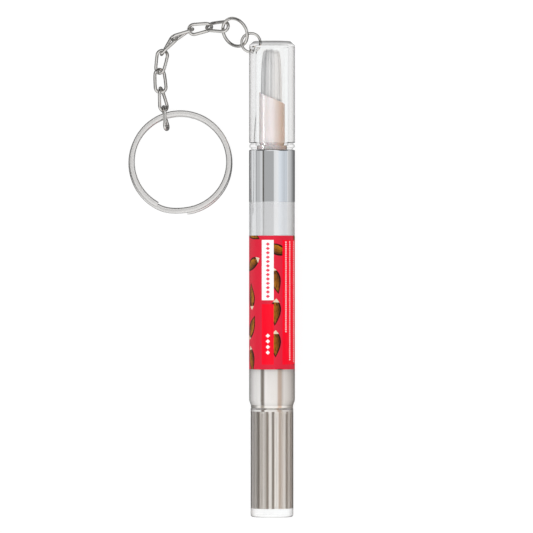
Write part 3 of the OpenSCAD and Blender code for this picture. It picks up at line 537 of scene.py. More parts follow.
def printed_film(name):
    """Gravure print: layers of ink laid over each other by masks on the place (u, v) in mm, u
    round the pen and v along it. The motif is an almond, a^2 + |q| / (1.55 + 0.54 a) < 1 with
    a = p / almond_half, in a half-drop repeat of cells, each turned by its own random
    angle."""
    finish, tree, uv = new_finish(name, uv_map="wrap")
    split = add(tree, "SeparateXYZ", [uv])
    u, v = split.outputs[0], split.outputs[1]
    # Each cell's own number, and the place inside it
    column = add(tree, "Math", [u, 1 / cell_w, 3.1 / cell_w], "MULTIPLY_ADD")
    odd = add(tree, "Math", [column], "FLOOR")
    odd = add(tree, "Math", [odd, 2.0], "FLOORED_MODULO")
    row = add(tree, "Math", [odd, cell_h / 2, v], "MULTIPLY_ADD")
    row = add(tree, "Math", [row, cell_h], "DIVIDE")
    grid = add(tree, "CombineXYZ", [column, row])
    cell = add(tree, "VectorMath", [grid], "FLOOR")
    inside = add(tree, "VectorMath", [grid], "FRACTION")
    corner = (-cell_w / 2, -cell_h / 2, 0)
    inside = add(tree, "VectorMath", [inside, (cell_w, cell_h, 0), corner], "MULTIPLY_ADD")
    chance = add(tree, "TexWhiteNoise", {"Vector": cell})
    angle = add(tree, "Math", [chance, 2 * math.pi], "MULTIPLY")
    spun = add(tree, "VectorRotate", {"Vector": inside, "Angle": angle}, rotation_type="Z_AXIS")
    pq = add(tree, "SeparateXYZ", [spun])
    along = add(tree, "Math", [pq.outputs[0], almond_half], "DIVIDE")
    width = add(tree, "Math", [along, 0.54, 1.55], "MULTIPLY_ADD")
    side = add(tree, "Math", [pq.outputs[1]], "ABSOLUTE")
    side = add(tree, "Math", [side, width], "DIVIDE")
    shape = add(tree, "Math", [along, along, side], "MULTIPLY_ADD")
    almond = add(tree, "Math", [shape, 1.0], "LESS_THAN")
    # The almond's shell: amber to brown across, a darker grain, a dark rim and a pale tip
    lit_side = add(tree, "MapRange", [pq.outputs[1], -1.2, 1.2])
    shell = add(tree, "Mix", {0: lit_side, 6: "5A2A0C", 7: "C07A0E"})
    grain_at = add(tree, "Mapping", {"Vector": spun, "Scale": (0.6, 5.0, 1.0)})
    grain = add(tree, "TexNoise", {"Vector": grain_at, "Scale": 1.0, "Detail": 3.0})
    for value, limit, colour in ((grain, 0.56, "3A1A08"),
                                 (shape, 0.74, "24120A"),
                                 (along, 0.72, "E6D6BC")):
        mask = add(tree, "Math", [value, limit], "GREATER_THAN")
        shell = add(tree, "Mix", {0: mask, 6: shell, 7: colour})
    ink = add(tree, "Mix", {0: almond, 6: "E1253E", 7: shell})
    # Flat panels: middle and half width round the pen, then along it
    for u_mid, u_half, v_mid, v_half, colour in (
            (-1.265, 1.755, 52.2, 8.6, "FF0027"), (8.545, 5.455, 61.33, 17.73, "FF0027"),
            (-1.265, 1.755, 70.48, 8.58, "FFFFFF")):
        in_u = add(tree, "Math", [u, u_mid, u_half], "COMPARE")
        in_v = add(tree, "Math", [v, v_mid, v_half], "COMPARE")
        box = add(tree, "Math", [in_u, in_v], "MULTIPLY")
        ink = add(tree, "Mix", {0: box, 6: ink, 7: colour})
    # Rows of small diamonds: place round the pen, first place along it, number, pitch, half
    # sizes round and along, colour
    rows = [(-1.2, 63.0, 13, 1.24, 0.62, 0.5, "F2455C"),
            (-1.2, 47.0, 4, 1.6, 0.62, 0.6, "FFFFFF")]
    rows += [(u_at, first, number, 0.62, 0.36, 0.27, "FFD9DE")
             for u_at, first, number in ((4.26, 53.0, 42), (5.78, 45.0, 55), (7.99, 44.4, 56))]
    for u_at, first, number, pitch, u_half, v_half, colour in rows:
        off = add(tree, "VectorMath", [uv, (u_at, first, 0)], "SUBTRACT")
        part = add(tree, "SeparateXYZ", [off])
        across = add(tree, "Math", [part.outputs[0]], "ABSOLUTE")
        across = add(tree, "Math", [across, u_half], "DIVIDE")
        repeat = add(tree, "Math", [part.outputs[1], pitch / 2], "PINGPONG")
        shape = add(tree, "Math", [repeat, 1 / v_half, across], "MULTIPLY_ADD")
        diamond = add(tree, "Math", [shape, 1.0], "LESS_THAN")
        middle = pitch * (number - 1) / 2
        in_row = add(tree, "Math", [part.outputs[1], middle, middle + pitch / 2], "COMPARE")
        mask = add(tree, "Math", [diamond, in_row], "MULTIPLY")
        ink = add(tree, "Mix", {0: mask, 6: ink, 7: colour})
    # The ink's screen, 9 dots to the millimetre, makes the gloss a little uneven
    dots = add(tree, "TexVoronoi", {"Vector": uv, "Scale": 9.0})
    screen = add(tree, "MapRange", {0: dots, 3: 0.25, 4: 0.36})
    relief = add(tree, "Bump", {"Height": almond, "Strength": 0.03, "Distance": 0.00002})
    skin = add(tree, "BsdfPrincipled", {"Base Color": ink, "Roughness": screen, "IOR": 1.49,
                                        "Normal": relief, "Specular IOR Level": 0.12,
                                        "Coat Weight": 0.02, "Coat Roughness": 0.1})
    add(tree, "OutputMaterial", {"Surface": skin})
    return finish


def frosted_film(name):
    """Clear film with a matt coat: part of the light goes straight on, and the rest is spread
    by a fine frost of about 0.1 mm."""
    finish, tree, place = new_finish(name)
    haze = grained(tree, place, 1000 / 0.1, 0.22, 0.32)["Roughness"]
    straight = add(tree, "BsdfTransparent", {"Color": (1, 1, 1, 1)})
    matt = add(tree, "BsdfPrincipled", {"Base Color": "F2F3F4", "Roughness": 0.3, "IOR": 1.49})
    # What the silver under it reflects crosses the frost once, not twice
    path = add(tree, "LightPath")
    first = add(tree, "Math", [1.0, path.outputs["Is Glossy Ray"]], "SUBTRACT")
    share = add(tree, "Math", [haze, first], "MULTIPLY")
    both = add(tree, "MixShader", [share, straight, matt])
    add(tree, "OutputMaterial", {"Surface": both})
    return finish


# Printed polypropylene film has saturated inks under a satin gloss
film_print = printed_film("gravure printed PP film")
# The unprinted margin is matt lacquered, so the silver under it looks paler and softer
film_margin = frosted_film("frosted clear PP film")
film_points, film_faces, film_uv = film_wrap()
film = make_piece("wrap_film", film_points, film_faces, film_print)
film_layer = film.data.uv_layers.new(name="wrap")
corner_point = np.empty(len(film.data.loops), dtype=np.int32)
film.data.loops.foreach_get("vertex_index", corner_point)
film_layer.data.foreach_set("uv", film_uv[corner_point].ravel())
second_finish(film, film_margin, lambda x, s, z: s > sleeve_s)
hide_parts("label_film")
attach(film, "pen")


# --- Nozzle ------------------------------------------------------------------------------
# Sleeve of nude translucent low-density polyethylene with a flange that the cap snaps on and
# a slanted mouth. It is pressed into the holder and keeps the bristles together.

nozzle_r = 3.7
nozzle_bore = 3.2
mouth_s = 121.3
mouth_slope = 25.3


def slanted_sleeve(steps=160):
    """Turned profile whose mouth rows are tilted: their height is mouth_s less
    (x + nozzle_r) times the tangent of mouth_slope, and less their drop below the lip."""
    low = eased([(2.3, 98.8), (3.3 - air, 98.8), (3.3 - air, 104.8 + air), (4.25, 104.8 + air),
                 (4.25, 106.1), (3.45, 106.1), (3.45, 106.7), (nozzle_r, 106.7),
                 (nozzle_r, 112), (nozzle_r - 0.001, 114), (nozzle_bore + 0.001, 114),
                 (nozzle_bore, 113), (nozzle_bore, 111.3), (2.3, 111.3)], 0.1)
    r, s = low.T
    flat = np.flatnonzero(s > 113.6)
    cut, rest = flat[0], flat[-1] + 1
    lip_r = np.array([nozzle_r, nozzle_r, nozzle_r - 0.03, nozzle_r - 0.1, nozzle_bore + 0.1,
                      nozzle_bore + 0.03, nozzle_bore, nozzle_bore])
    lip_drop = np.array([0.3, 0.12, 0.04, 0, 0, 0.04, 0.12, 0.3])
    drop = np.concatenate([np.full(cut, np.nan), lip_drop, np.full(len(s) - rest, np.nan)])
    r = np.concatenate([r[:cut], lip_r, r[rest:]])
    s = np.concatenate([s[:cut], lip_drop, s[rest:]])
    t = all_round(steps)
    fall = math.tan(math.radians(mouth_slope)) * (r * np.sin(t) + nozzle_r)
    return round_pen(r, np.where(np.isnan(drop), s, mouth_s - fall - np.nan_to_num(drop)), t)


def nude_polyethylene(name):
    """Translucent polyethylene with a nude tint and painted shade in grey and warm bands round
    it, which come again opposite each other, and a polished skin over a fine moulded grain of
    0.25 mm."""
    finish, tree, place = new_finish(name)
    tone = drifting(tree, place, (700, 50, 700), "EBE3E4", "E4DBDB")
    # Painted shade: it is a little greyer towards its flange, as in the shadow of the sleeve
    split = add(tree, "SeparateXYZ", [place])
    flange_shade = add(tree, "MapRange", [split.outputs[1], 0.1050, 0.1085, 0.82, 1.0])
    tone = add(tree, "VectorMath", [tone, flange_shade], "MULTIPLY")
    # Painted shade: a grey on the left, a grey just right of the middle and a warm darker band
    # on the right, which come again on the far side
    tone = lined(tree, place, tone, [(-70, 18, "E2D8D6"), (25, 14, "DACDC9"),
                                     (60, 26, "DFC6B5")])
    looks = grained(tree, place, 1000 / 0.25, 0.22, 0.34, 0.03)
    skin = add(tree, "BsdfPrincipled", looks | {
        "Base Color": tone, "IOR": 1.48, "Subsurface Weight": 0.1, "Subsurface Scale": 0.0005,
        "Coat Weight": 0.5, "Coat Roughness": 0.06})
    add(tree, "OutputMaterial", {"Surface": skin})
    return finish


# Low-density polyethylene in a nude tint scatters light inside, so its edges stay soft
nude_pe = nude_polyethylene("nude translucent PE with painted shade")
nozzle = grid_piece("slanted_nozzle", slanted_sleeve(), nude_pe)
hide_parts("nozzle")
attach(nozzle, "pen")


# --- Bristles ----------------------------------------------------------------------------
# Tapered strands of white PBT, set in a resin root in the nozzle. The outer ones are trimmed
# lower and drawn in, which gives the brush its filbert tip.

root_s = 111.32
brush_tip_s = 134.4
brush_r = 3.0
strand_r = 0.075
strand_total = 660
strand_rings = 8
strand_sides = 4
chance = np.random.default_rng(7)


def strand_tubes():
    """Strand i stands at the angle i times 137.508 degrees and the radius brush_r times
    sqrt((i + 0.5) / n). At the height h, from 0 at the root to 1 at the tip, the bundle is
    drawn in by width(h) and leans to -X, by 0.2 mm from h = 0.3 on, and each strand strays
    from its line by about 0.06 h^2 mm. Its own tip is at 1 - 0.02 share^3, less a random part
    that leaves only a few long, and one that it shares with its neighbours."""
    i = np.arange(strand_total)
    share = np.sqrt((i + 0.5) / strand_total)
    angle = np.radians(i * 137.508)
    clump_top = np.interp(share * np.cos(angle), np.linspace(-1, 1, 24), chance.random(24))
    own = chance.random(strand_total) ** 0.3
    top = 1 - 0.02 * share ** 3 - 0.042 * own - 0.025 * clump_top
    level = np.array([0, 0.12, 0.3, 0.5, 0.7, 0.84, 0.94, 1.0])
    h = 0.045 + (top[:, None] - 0.045) * level
    width = np.interp(h, [0, 0.3, 0.55, 0.79, 0.9, 0.96, 1.0],
                      [1.0, 1.0, 0.985, 0.91, 0.80, 0.69, 0.58])
    stray = chance.normal(0, 0.06, (strand_total, 2))
    reach = brush_r * share[:, None] * width
    x = reach * np.cos(angle)[:, None] + stray[:, :1] * h ** 2 - 0.2 * np.clip(h / 0.3, 0, 1)
    z = reach * np.sin(angle)[:, None] + stray[:, 1:] * h ** 2
    y = root_s + (brush_tip_s - root_s) * h
    thick = strand_r * np.interp(level, [0, 0.7, 1.0], [1, 0.85, 0.18])[:, None]
    ring = all_round(strand_sides).T + angle[:, None, None]
    points = np.stack([x[..., None] + thick * np.cos(ring), y[..., None] + 0 * ring,
                       z[..., None] + thick * np.sin(ring)], axis=-1)
    one = wrap(strand_rings, strand_sides, close_rows=False)
    foot = np.arange(strand_sides)[None, :]
    head = foot[:, ::-1] + (strand_rings - 1) * strand_sides
    one = np.concatenate([one, foot, head])
    step = strand_rings * strand_sides
    faces = (one[None] + step * i[:, None, None]).reshape(-1, 4)
    return points, faces


def bristle_nylon(name):
    """Synthetic bristle: a tone of its own for each strand, from the mesh, which holds painted
    shade on the left too, a soft gloss, and some light that goes through."""
    finish, tree, place = new_finish(name)
    tone = add(tree, "Attribute", attribute_name="strand_tone_and_shade").outputs["Fac"]
    colour = add(tree, "Mix", {0: tone, 6: "B8B8BA", 7: "FFFFFF"})
    looks = grained(tree, place, 1000 / 0.25, 0.25, 0.45)
    skin = add(tree, "BsdfPrincipled", looks | {"Base Color": colour, "IOR": 1.5,
                                                "Sheen Weight": 0.1})
    through = add(tree, "BsdfTranslucent", {"Color": colour})
    both = add(tree, "MixShader", [0.2, skin, through])
    # A strand lets most light past it to the strands below
    past = add(tree, "BsdfTransparent", {"Color": (0.97, 0.97, 0.97, 1)})
    path = add(tree, "LightPath")
    both = add(tree, "MixShader", [path.outputs["Is Shadow Ray"], both, past])
    add(tree, "OutputMaterial", {"Surface": both})
    return finish


# PBT bristle is pale grey white, silky, and a little different from strand to strand
pbt_bristle = bristle_nylon("tapered PBT bristle")
strand_points, strand_faces = strand_tubes()
root_plug = eased([(0.85, 111.34), (nozzle_bore - air, 111.34), (nozzle_bore - air, 113.1),
                   (0.85, 113.1)], 0.1)
root_points = round_pen(*root_plug.T, all_round(96)).reshape(-1, 3)
brush_points = np.concatenate([strand_points.reshape(-1, 3), root_points])
brush_faces = np.concatenate([strand_faces, wrap(96, len(root_plug)) + strand_points.size // 3])
brush = make_piece("filbert_brush", brush_points, brush_faces, pbt_bristle, sharp=100)
# Locks of strands are darker or lighter together, and those on the left are painted darker as
# shade
lock = np.random.default_rng(3).random(20)
across = strand_points.reshape(strand_total, -1, 3)[:, 0, 0]
clump = np.interp(across, np.linspace(-1.1 * brush_r, 1.1 * brush_r, 20), lock)
left_shade = np.clip((-across - 0.9) / 1.8, 0, 1)
tones = 0.22 + 0.2 * chance.random(strand_total) + 1.1 * clump - 0.6 * left_shade
tones = np.clip(tones, 0, 1)
tones = np.repeat(tones, strand_rings * strand_sides)
tones = np.concatenate([tones, np.full(len(root_points), 0.5)])
brush.data.attributes.new("strand_tone_and_shade", "FLOAT", "POINT").data.foreach_set("value", tones)
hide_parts("brush_bristles")
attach(brush, "pen")


# --- Cap ---------------------------------------------------------------------------------
# Clear SAN cup with a chamfered top and a step, bead and groove at its mouth. A lip inside
# snaps on the nozzle's flange, and two drilled holes at its top edge take the small ring.

side_hole_s = 132.99
top_hole_x = -3.4
hole_r = 0.75


def with_holes(piece, cutters, sides=48):
    """Takes round cutters, given as (end, end, radius) in mm, out of a piece, exactly."""
    for k, (low, high, radius) in enumerate(cutters):
        low, high = np.array(low, float), np.array(high, float)
        axis = (high - low) / np.linalg.norm(high - low)
        side = np.cross(axis, [0, 0, 1.0])
        up = np.cross(axis, side)
        a = all_round(sides)
        ring = radius * (np.cos(a) * side + np.sin(a) * up)
        rows = np.stack([low + 0 * ring, low + ring, high + ring, high + 0 * ring])
        cutter = grid_piece(f"cutter_{k}", rows, clear_san, close_rows=False)
        cut = piece.modifiers.new("hole", "BOOLEAN")
        cut.object = cutter
        cut.operation = "DIFFERENCE"
        cut.solver = "EXACT"
        done = piece.evaluated_get(bpy.context.evaluated_depsgraph_get())
        mesh = bpy.data.meshes.new_from_object(done)
        piece.modifiers.clear()
        piece.data = mesh
        bpy.data.objects.remove(cutter)
    piece.data.set_sharp_from_angle(angle=math.radians(32))


def thin_plastic(name, rim_shade_level, edge_level):
    """Clear plastic where its walls are short and cross at every slant: the light goes almost
    straight on, less a grey where it is seen edge on, and its gloss has a grain of 0.3 mm. The
    very top rim can be painted greyer, as painted shade along that edge."""
    finish, tree, place = new_finish(name)
    split = add(tree, "SeparateXYZ", [place])
    rim = add(tree, "MapRange", [split.outputs[1], 0.1350, 0.1354, 1.0, rim_shade_level])
    edge_on = add(tree, "LayerWeight", {"Blend": 0.5})
    edge = add(tree, "MapRange", [edge_on.outputs["Facing"], 0.55, 0.9, 0.98, edge_level])
    clear = add(tree, "Math", [rim, edge], "MULTIPLY")
    straight = add(tree, "BsdfTransparent", {"Color": clear})
    looks = grained(tree, place, 3000, 0.04, 0.12)
    shine = add(tree, "BsdfGlossy", looks)
    mirror = add(tree, "MapRange", [edge_on.outputs["Facing"], 0.5, 1.0, 0.02, 0.12])
    both = add(tree, "MixShader", [mirror, straight, shine])
    add(tree, "OutputMaterial", {"Surface": both})
    return finish


# The cap's top and mouth are the same SAN, with painted shade along the top rim
thin_san = thin_plastic("SAN edge with painted rim shade", 0.66, 0.76)
# A drilled hole's wall greys less where it is seen edge on, and hardly shows
drilled_san = thin_plastic("drilled SAN", 1.0, 0.95)
cap_ease = [0.1, 0.1, 0.08, 0.08, 0.08, 0.08, 0.12, 0, 0,
            0.12, 0.12, 0, 0, 0.25, 0, 0, 0.1, 0.1]
cap = turned("clear_cap", eased([
    (4.3, cap_s), (6.0, cap_s), (6.0, 105.35), (6.5, 105.533), (6.5, 106.233), (6.0, 106.583),
    (body_r, 106.933), (body_r, 131.2), (body_r, 134.4), (body_r, 134.72), (5.25, 135.82),
    (0, 135.82), (0, 134.8), (4.68, 134.8), (4.68, 134.0), (4.68, 106.95), (4.68, 106.0),
    (4.3, 106.0)], cap_ease), clear_san)
with_holes(cap, [((-8, side_hole_s, 0), (-3.8, side_hole_s, 0), hole_r),
                 ((top_hole_x, 137, 0), (top_hole_x, 134, 0), hole_r)])
second_finish(cap, thin_san, lambda x, s, z: (s > 133.95) | (s < 106.94))
second_finish(cap, drilled_san, lambda x, s, z: (
    (np.hypot(x - top_hole_x, z) < hole_r + 0.01) & (s > 133.9)
    | (np.hypot(s - side_hole_s, z) < hole_r + 0.01) & (x > -6.45) & (x < -4.75)))
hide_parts("cap")
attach(cap, "cap")


# --- Jump rings --------------------------------------------------------------------------
# Two rings bent from round nickel-plated steel wire, each sprung open at a fine slit and
# closed again. The small one hooks the cap, and the large one carries the chain.

def unit(degrees):
    """Step of 1 mm over the table, at an angle from +X."""
    return np.array([math.cos(math.radians(degrees)), math.sin(math.radians(degrees)), 0])


def turn(points, axis, degrees):
    """Points turned about the x, y or z axis by the right-hand rule."""
    i, j = {"x": (1, 2), "y": (2, 0), "z": (0, 1)}[axis]
    c, s = math.cos(math.radians(degrees)), math.sin(math.radians(degrees))
    out = points.copy()
    out[..., i] = c * points[..., i] - s * points[..., j]
    out[..., j] = s * points[..., i] + c * points[..., j]
    return out


def jump_ring(outside_d, wire, slit_dir, slit=0.12, steps=144, sides=20):
    """Arc of round wire: the section wire / 2 (cos b, sin b) is carried round the circle of
    radius (outside_d - wire) / 2 from one side of the slit to the other, with eased ends."""
    mid = (outside_d - wire) / 2
    half = slit / 2 / mid
    a = math.radians(slit_dir) + np.linspace(half, 2 * np.pi - half, steps)
    size = np.ones(steps)
    a = np.concatenate([a[:1], a[:1], a[:1] + 0.04 / mid, a[1:-1], a[-1:] - 0.04 / mid, a[-1:],
                        a[-1:]])[:, None]
    size = np.concatenate([[0, 0.88, 1.0], size[1:-1], [1.0, 0.88, 0]])[:, None] * wire / 2
    b = all_round(sides).T
    reach = mid + size * np.cos(b)
    return np.stack([reach * np.cos(a), reach * np.sin(a), size * np.sin(b) + 0 * a], axis=-1)


# Nickel plate over drawn wire is bright and a little warm, with a drawn grain of 0.05 mm
nickel_wire = rolled_metal("nickel plated steel wire", "EDEBE8", "DAD8D4", 0.11, 0.05)
small_ring_at = np.array([-6.02, 135.47, 0])
large_ring_at = small_ring_at + 5.44 * unit(146.4) + np.array([0, 0, -1.02])
small_points = jump_ring(6.1, 0.73, -45) + small_ring_at
large_points = turn(turn(jump_ring(9.3, 0.9, -60), "x", -35), "y", 24)
large_points = turn(large_points, "z", 153) + large_ring_at
for name, points, node, body in (
        ("small_jump_ring", small_points, "small_ring", "small_ring"),
        ("large_jump_ring", large_points, "large_ring", "large_ring")):
    ring = grid_piece(name, points, nickel_wire, close_rows=False)
    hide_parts(node)
    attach(ring, body)


# --- Chain links -------------------------------------------------------------------------
# Eight ovals of round nickel-plated wire, each a little twisted and hooked through the next.
# They lie on the table as the chain was dropped, each rolled on from the one before.

table_z = -body_r
link_len, link_w, link_wire, link_twist = 7.5, 4.0, 0.9, 20.4
bend_r = (link_w - link_wire) / 2
leg = (link_len - link_w) / 2
reach = leg + bend_r
headings = [179.8, 189.8, 206.2, 231.6, 259.7, 274.4, 279.3, 278.1]
slopes = [-22.8, -0.6, 0, 0, 0, 0, 0, 0]
rolls = [214.3, 143, 98.5, 74.3, 26, -18.4, -59.5, -86.8]
overlaps = [1.48, 1.28, 1.51, 1.42, 1.2, 1.4, 1.28]
lifts = [0.74, 0.66, 0.43, 0.04, 0.14, 0.33, 0.02, 0.02]


def link_tube(bend_steps=22, leg_steps=10, sides=16):
    """Middle line and wire points of a link along X. The line is two half circles and two
    legs; a point (x, y) is twisted to (x, y cos t, y sin t) with t = link_twist x / reach
    degrees, and the section stands square to the line."""
    a = np.radians(np.linspace(-90, 90, bend_steps + 1))
    x_leg = np.linspace(leg, -leg, leg_steps + 1)[1:-1]
    half = np.concatenate([np.stack([leg + bend_r * np.cos(a), bend_r * np.sin(a)], -1),
                           np.stack([x_leg, np.full(len(x_leg), bend_r)], -1)])
    oval = np.concatenate([half, -half])
    t = np.radians(link_twist * oval[:, 0] / reach)
    line = np.stack([oval[:, 0], oval[:, 1] * np.cos(t), oval[:, 1] * np.sin(t)], -1)
    up = np.stack([0 * t, -np.sin(t), np.cos(t)], -1)
    along = np.roll(line, -1, axis=0) - np.roll(line, 1, axis=0)
    along /= np.linalg.norm(along, axis=1, keepdims=True)
    side = np.cross(up, along)
    side /= np.linalg.norm(side, axis=1, keepdims=True)
    up = np.cross(along, side)
    b = all_round(sides)
    wire = line[:, None] + link_wire / 2 * (np.cos(b) * side[:, None] + np.sin(b) * up[:, None])
    return line, wire


link_line, link_points = link_tube()
plan = large_ring_at + 5.31 * unit(161.16)
ahead = [unit(heading) for heading in headings]
half_run = [reach * math.cos(math.radians(slope)) for slope in slopes]
for k in range(8):
    if k:
        hook = overlaps[k - 1] * link_wire / 2 * (ahead[k - 1] + ahead[k])
        plan = plan + half_run[k - 1] * ahead[k - 1] + half_run[k] * ahead[k] - hook
    line, wire = [turn(turn(points, "x", rolls[k]), "y", -slopes[k])
                  for points in (link_line, link_points)]
    height = table_z + link_wire / 2 - line[:, 2].min() + lifts[k] * link_wire
    points = turn(wire, "z", headings[k]) + np.array([plan[0], plan[1], height])
    link = grid_piece(f"twisted_link_{k + 1}", points, nickel_wire)
    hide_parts(f"chain_link_{k + 1}")
    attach(link, f"chain_link_{k + 1}")


# --- Key ring ----------------------------------------------------------------------------
# Split ring coiled twice from flat spring steel with rounded edges, tempered and nickel
# plated. Its two coils cross in a short ramp, and it lies tilted on the last link.

key_d, key_w, key_t = 30.0, 1.9, 0.78
key_mid = (key_d - key_w) / 2
key_ramp = 36
key_pitch = key_t + 0.05
key_dir = 109.8
coil_w, coil_mid, coil_shrink = 1.64, 14.09, 0.012
key_tilt = math.degrees(math.asin((link_wire + 0.32) / (2 * key_mid)))


def flat_coil(steps=360):
    """Two turns of flat wire: the section, coil_w by key_t with round edges, is carried round
    the circle of radius coil_mid and climbs one pitch in the ramp by 3 x^2 - 2 x^3, where the
    coil also gets a little smaller. The ends close to a point."""
    b = np.linspace(-np.pi / 2, np.pi / 2, 9)
    edge = np.stack([(coil_w - key_t) / 2 + key_t / 2 * np.cos(b), key_t / 2 * np.sin(b)], -1)
    section = np.concatenate([edge, -edge])
    a = key_ramp / 2 + np.linspace(0, 720 - key_ramp, steps)
    climb = np.clip((a - (360 - key_ramp / 2)) / key_ramp, 0, 1)
    climb = (3 * climb ** 2 - 2 * climb ** 3)[:, None]
    scale = np.concatenate([[0, 0.9], np.ones(steps - 4), [0.9, 0]])[:, None]
    a[1], a[-2] = a[0] + 0.001, a[-1] - 0.001
    a = np.radians(a)[:, None]
    r = (coil_mid + section[:, 0] * scale) * (1 - coil_shrink * climb)
    z = key_t / 2 + section[:, 1] * scale + key_pitch * climb
    return np.stack([r * np.cos(a), r * np.sin(a), z], axis=-1), climb


# The key ring's plate is thicker, with a soft brushed look round its flat faces
nickel_band = rolled_metal("nickel plated spring steel", "F0EFED", "E4E2E0", 0.28, 0.06)
coil_points, climb = flat_coil()
coil_points = turn(coil_points, "z", 150) + np.array([key_d / 2, 0, 0])
coil_points = turn(coil_points, "y", -key_tilt) - np.array([key_d / 2, 0, 0])
key_at = plan - (key_mid - 0.25) * unit(key_dir)
coil_points = turn(coil_points, "z", key_dir) + np.array([key_at[0], key_at[1], table_z])
# The coils don't lie quite square on each other: the upper one sits further towards +Y
coil_points += np.array([-0.33, 0.12, 0]) + climb[..., None] * np.array([0.0, 0.42, 0])
key_ring = grid_piece("flat_wire_key_ring", coil_points, nickel_band, close_rows=False)
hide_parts("split_ring")
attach(key_ring, "split_ring")


# --- Studio ------------------------------------------------------------------------------
# White table under soft overhead light, with long panels on both sides that draw the bands on
# the silver sleeve and dark flags near the horizon that draw the edges of clear and plated
# pieces. The camera looks straight down.

floor_mesh = bpy.data.meshes.new("table_top")
floor_half = 1.5
corners = [(-1, -1), (1, -1), (1, 1), (-1, 1)]
floor_mesh.from_pydata([(x * floor_half, y * floor_half, table_z / 1000) for x, y in corners],
                       [], [(0, 1, 2, 3)])
floor = into_scene("table_top", floor_mesh)
paper, tree, place = new_finish("white paper table")
path = add(tree, "LightPath")
seen = add(tree, "Math", [path.outputs["Is Camera Ray"], path.outputs["Is Glossy Ray"]],
           "MAXIMUM")
seen = add(tree, "Math", [seen, path.outputs["Is Transmission Ray"]], "MAXIMUM")
share = add(tree, "Math", [seen, 0.85], "MULTIPLY")
# Metal sees the table with painted shade: dark close by, as a painted contact shadow, paler
# further off, and darker just to the right of the pen
reflected_shade = add(tree, "MapRange", [path.outputs["Ray Length"], 0.009, 0.020, 0.05, 0.72])
spot = add(tree, "SeparateXYZ", [place])
right_shade = add(tree, "MapRange", [spot.outputs[0], -0.002, 0.012, 1.0, 0.25])
far = add(tree, "MapRange", [spot.outputs[0], 0.012, 0.045, 0.0, 0.45])
right_shade = add(tree, "Math", [right_shade, far], "ADD")
reflected_shade = add(tree, "Math", [reflected_shade, right_shade], "MULTIPLY")
# Clear plastic sees it white beneath the pen and greyer from 9 mm out to its sides: painted
# shade that stands in for dark cards there
aside = add(tree, "Math", [spot.outputs[0]], "ABSOLUTE")
side_shade = add(tree, "MapRange", [aside, 0.009, 0.025, 1.06, 0.7])
level = add(tree, "Mix", {0: path.outputs["Is Glossy Ray"], 2: 1.06, 3: reflected_shade})
level = add(tree, "Mix", {0: path.outputs["Is Transmission Ray"], 2: level, 3: side_shade})
matt = add(tree, "BsdfDiffuse", {"Color": "FAFAFA"})
glow = add(tree, "Emission", {"Color": (1, 1, 1, 1), "Strength": level})
both = add(tree, "MixShader", [share, matt, glow])
add(tree, "OutputMaterial", {"Surface": both})
floor_mesh.materials.append(paper)

world = bpy.data.worlds.new("studio")
bpy.context.scene.world = world
world.use_nodes = True
tree = world.node_tree
tree.nodes.clear()
aim = add(tree, "TexCoord").outputs["Generated"]
way = add(tree, "SeparateXYZ", [aim])
tilt = add(tree, "Math", [way.outputs[0], way.outputs[2]], "ARCTAN2")
at = add(tree, "MapRange", [tilt, math.radians(-100), math.radians(100)])
bands = add(tree, "ValToRGB", [at])
# Angle from overhead towards +X in degrees, and the level and tint of the panel there
stops = [(-100, 0.36, 0), (-90, 0.34, 0), (-82, 0.46, 0), (-76, 0.56, 0), (-70, 0.48, 0),
         (-62, 0.60, 0), (-56, 0.70, 0), (-50, 0.62, 0), (-46.5, 0.12, 2), (-41.5, 0.09, 2),
         (-40.5, 0.36, 0), (-36, 0.42, 0), (8.0, 0.42, 0), (10.0, 0.78, 0), (27, 0.86, 0),
         (40, 0.80, 1), (56, 0.66, 1), (66, 0.60, 1), (74, 0.68, 1), (81, 0.60, 1),
         (86, 0.78, 0), (96, 0.70, 0), (100, 0.60, 0)]
tints = [(1.0, 1.0, 1.0), (0.95, 1.0, 1.06), (1.1, 1.0, 0.9)]
fill_ramp(bands.color_ramp, [((angle + 100) / 200, [level * c for c in tints[tint]] + [1])
                             for angle, level, tint in stops])
# Towards the pen's two ends there is a bright panel, and then a dark flag at the horizon
off = add(tree, "Math", [way.outputs[1]], "ABSOLUTE")
panel_on = add(tree, "MapRange", [off, 0.05, 0.12])
# The flag stands at the horizon, except towards -Y
flag_low = add(tree, "MapRange", [way.outputs[2], 0.90, 0.70])
flag_side = add(tree, "MapRange", [way.outputs[1], -0.7, -0.3])
flag_on = add(tree, "Math", [flag_low, flag_side], "MULTIPLY")
flag_on = add(tree, "Math", [flag_on, panel_on], "MULTIPLY")
mirror = add(tree, "Mix", {0: panel_on, 6: bands, 7: (1.0, 1.0, 1.0, 1)})
mirror = add(tree, "Mix", {0: flag_on, 6: mirror, 7: (0.06, 0.06, 0.06, 1)})
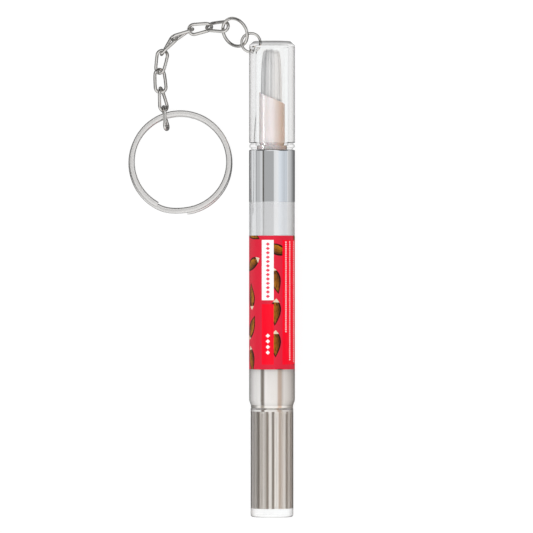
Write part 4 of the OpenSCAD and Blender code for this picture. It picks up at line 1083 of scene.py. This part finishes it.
# Through clear plastic the studio is plain white, and greyer at the sides
low = add(tree, "MapRange", [way.outputs[2], 0.15, 0.75, 0.65, 1.5])
warm = add(tree, "MapRange", [way.outputs[0], -0.1, 0.9])
through = add(tree, "Mix", {0: warm, 6: (1, 1, 1, 1), 7: (0.50, 0.34, 0.22, 1)})
through = add(tree, "VectorMath", [through, low], "MULTIPLY")
# Matt surfaces see an even light, a little warmer and stronger from +X
even = add(tree, "Mix", {0: warm, 6: (0.49, 0.49, 0.50, 1), 7: (0.74, 0.70, 0.66, 1)})
path = add(tree, "LightPath")
sky = even
for ray, shown in (("Is Glossy Ray", mirror), ("Is Transmission Ray", through),
                   ("Is Camera Ray", (1, 1, 1, 1))):
    sky = add(tree, "Mix", {0: path.outputs[ray], 6: sky, 7: shown})
light = add(tree, "Background", {"Color": sky, "Strength": 1.0})
add(tree, "OutputWorld", {"Surface": light})

# Overhead softbox of 0.6 m and a weaker one from the left, which show in no reflection, and a
# low strip on the left
for name, shape, place, tip, size, watts, unseen in (
        ("overhead_softbox", "SQUARE", (-0.05, 0.07, 0.7), -4, (0.6, 0.6), 2.5, "glossy"),
        ("left_softbox", "SQUARE", (-0.55, 0.1, 0.4), -54, (0.4, 0.4), 0.5, "glossy"),
        ("left_strip", "RECTANGLE", (-0.585, 0.11, 0.137), -77, (0.06, 0.6), 4.2, "diffuse")):
    data = bpy.data.lights.new(name, "AREA")
    data.shape = shape
    data.size, data.size_y = size
    data.energy = watts
    lamp = into_scene(name, data)
    lamp.location = place
    lamp.rotation_euler = (0, math.radians(tip), 0)
    lamp.visible_transmission = False
    setattr(lamp, "visible_" + unseen, False)
# The strip draws one narrow line on the nozzle's polished skin, and lights it alone
lamp.light_linking.receiver_collection = bpy.data.collections.new("strip_lit")
lamp.light_linking.receiver_collection.objects.link(nozzle)

# The frame is 152.3 mm wide at the pen's axis, seen from 1.5 m
eye = bpy.data.cameras.new("camera")
eye.sensor_width = 36
eye.lens = 36 * 1.5 / 0.1523
camera = into_scene("camera", eye)
camera.location = (-0.00157, 0.0715, 1.5)
bpy.context.scene.camera = camera
bpy.context.scene.view_settings.view_transform = "Standard"
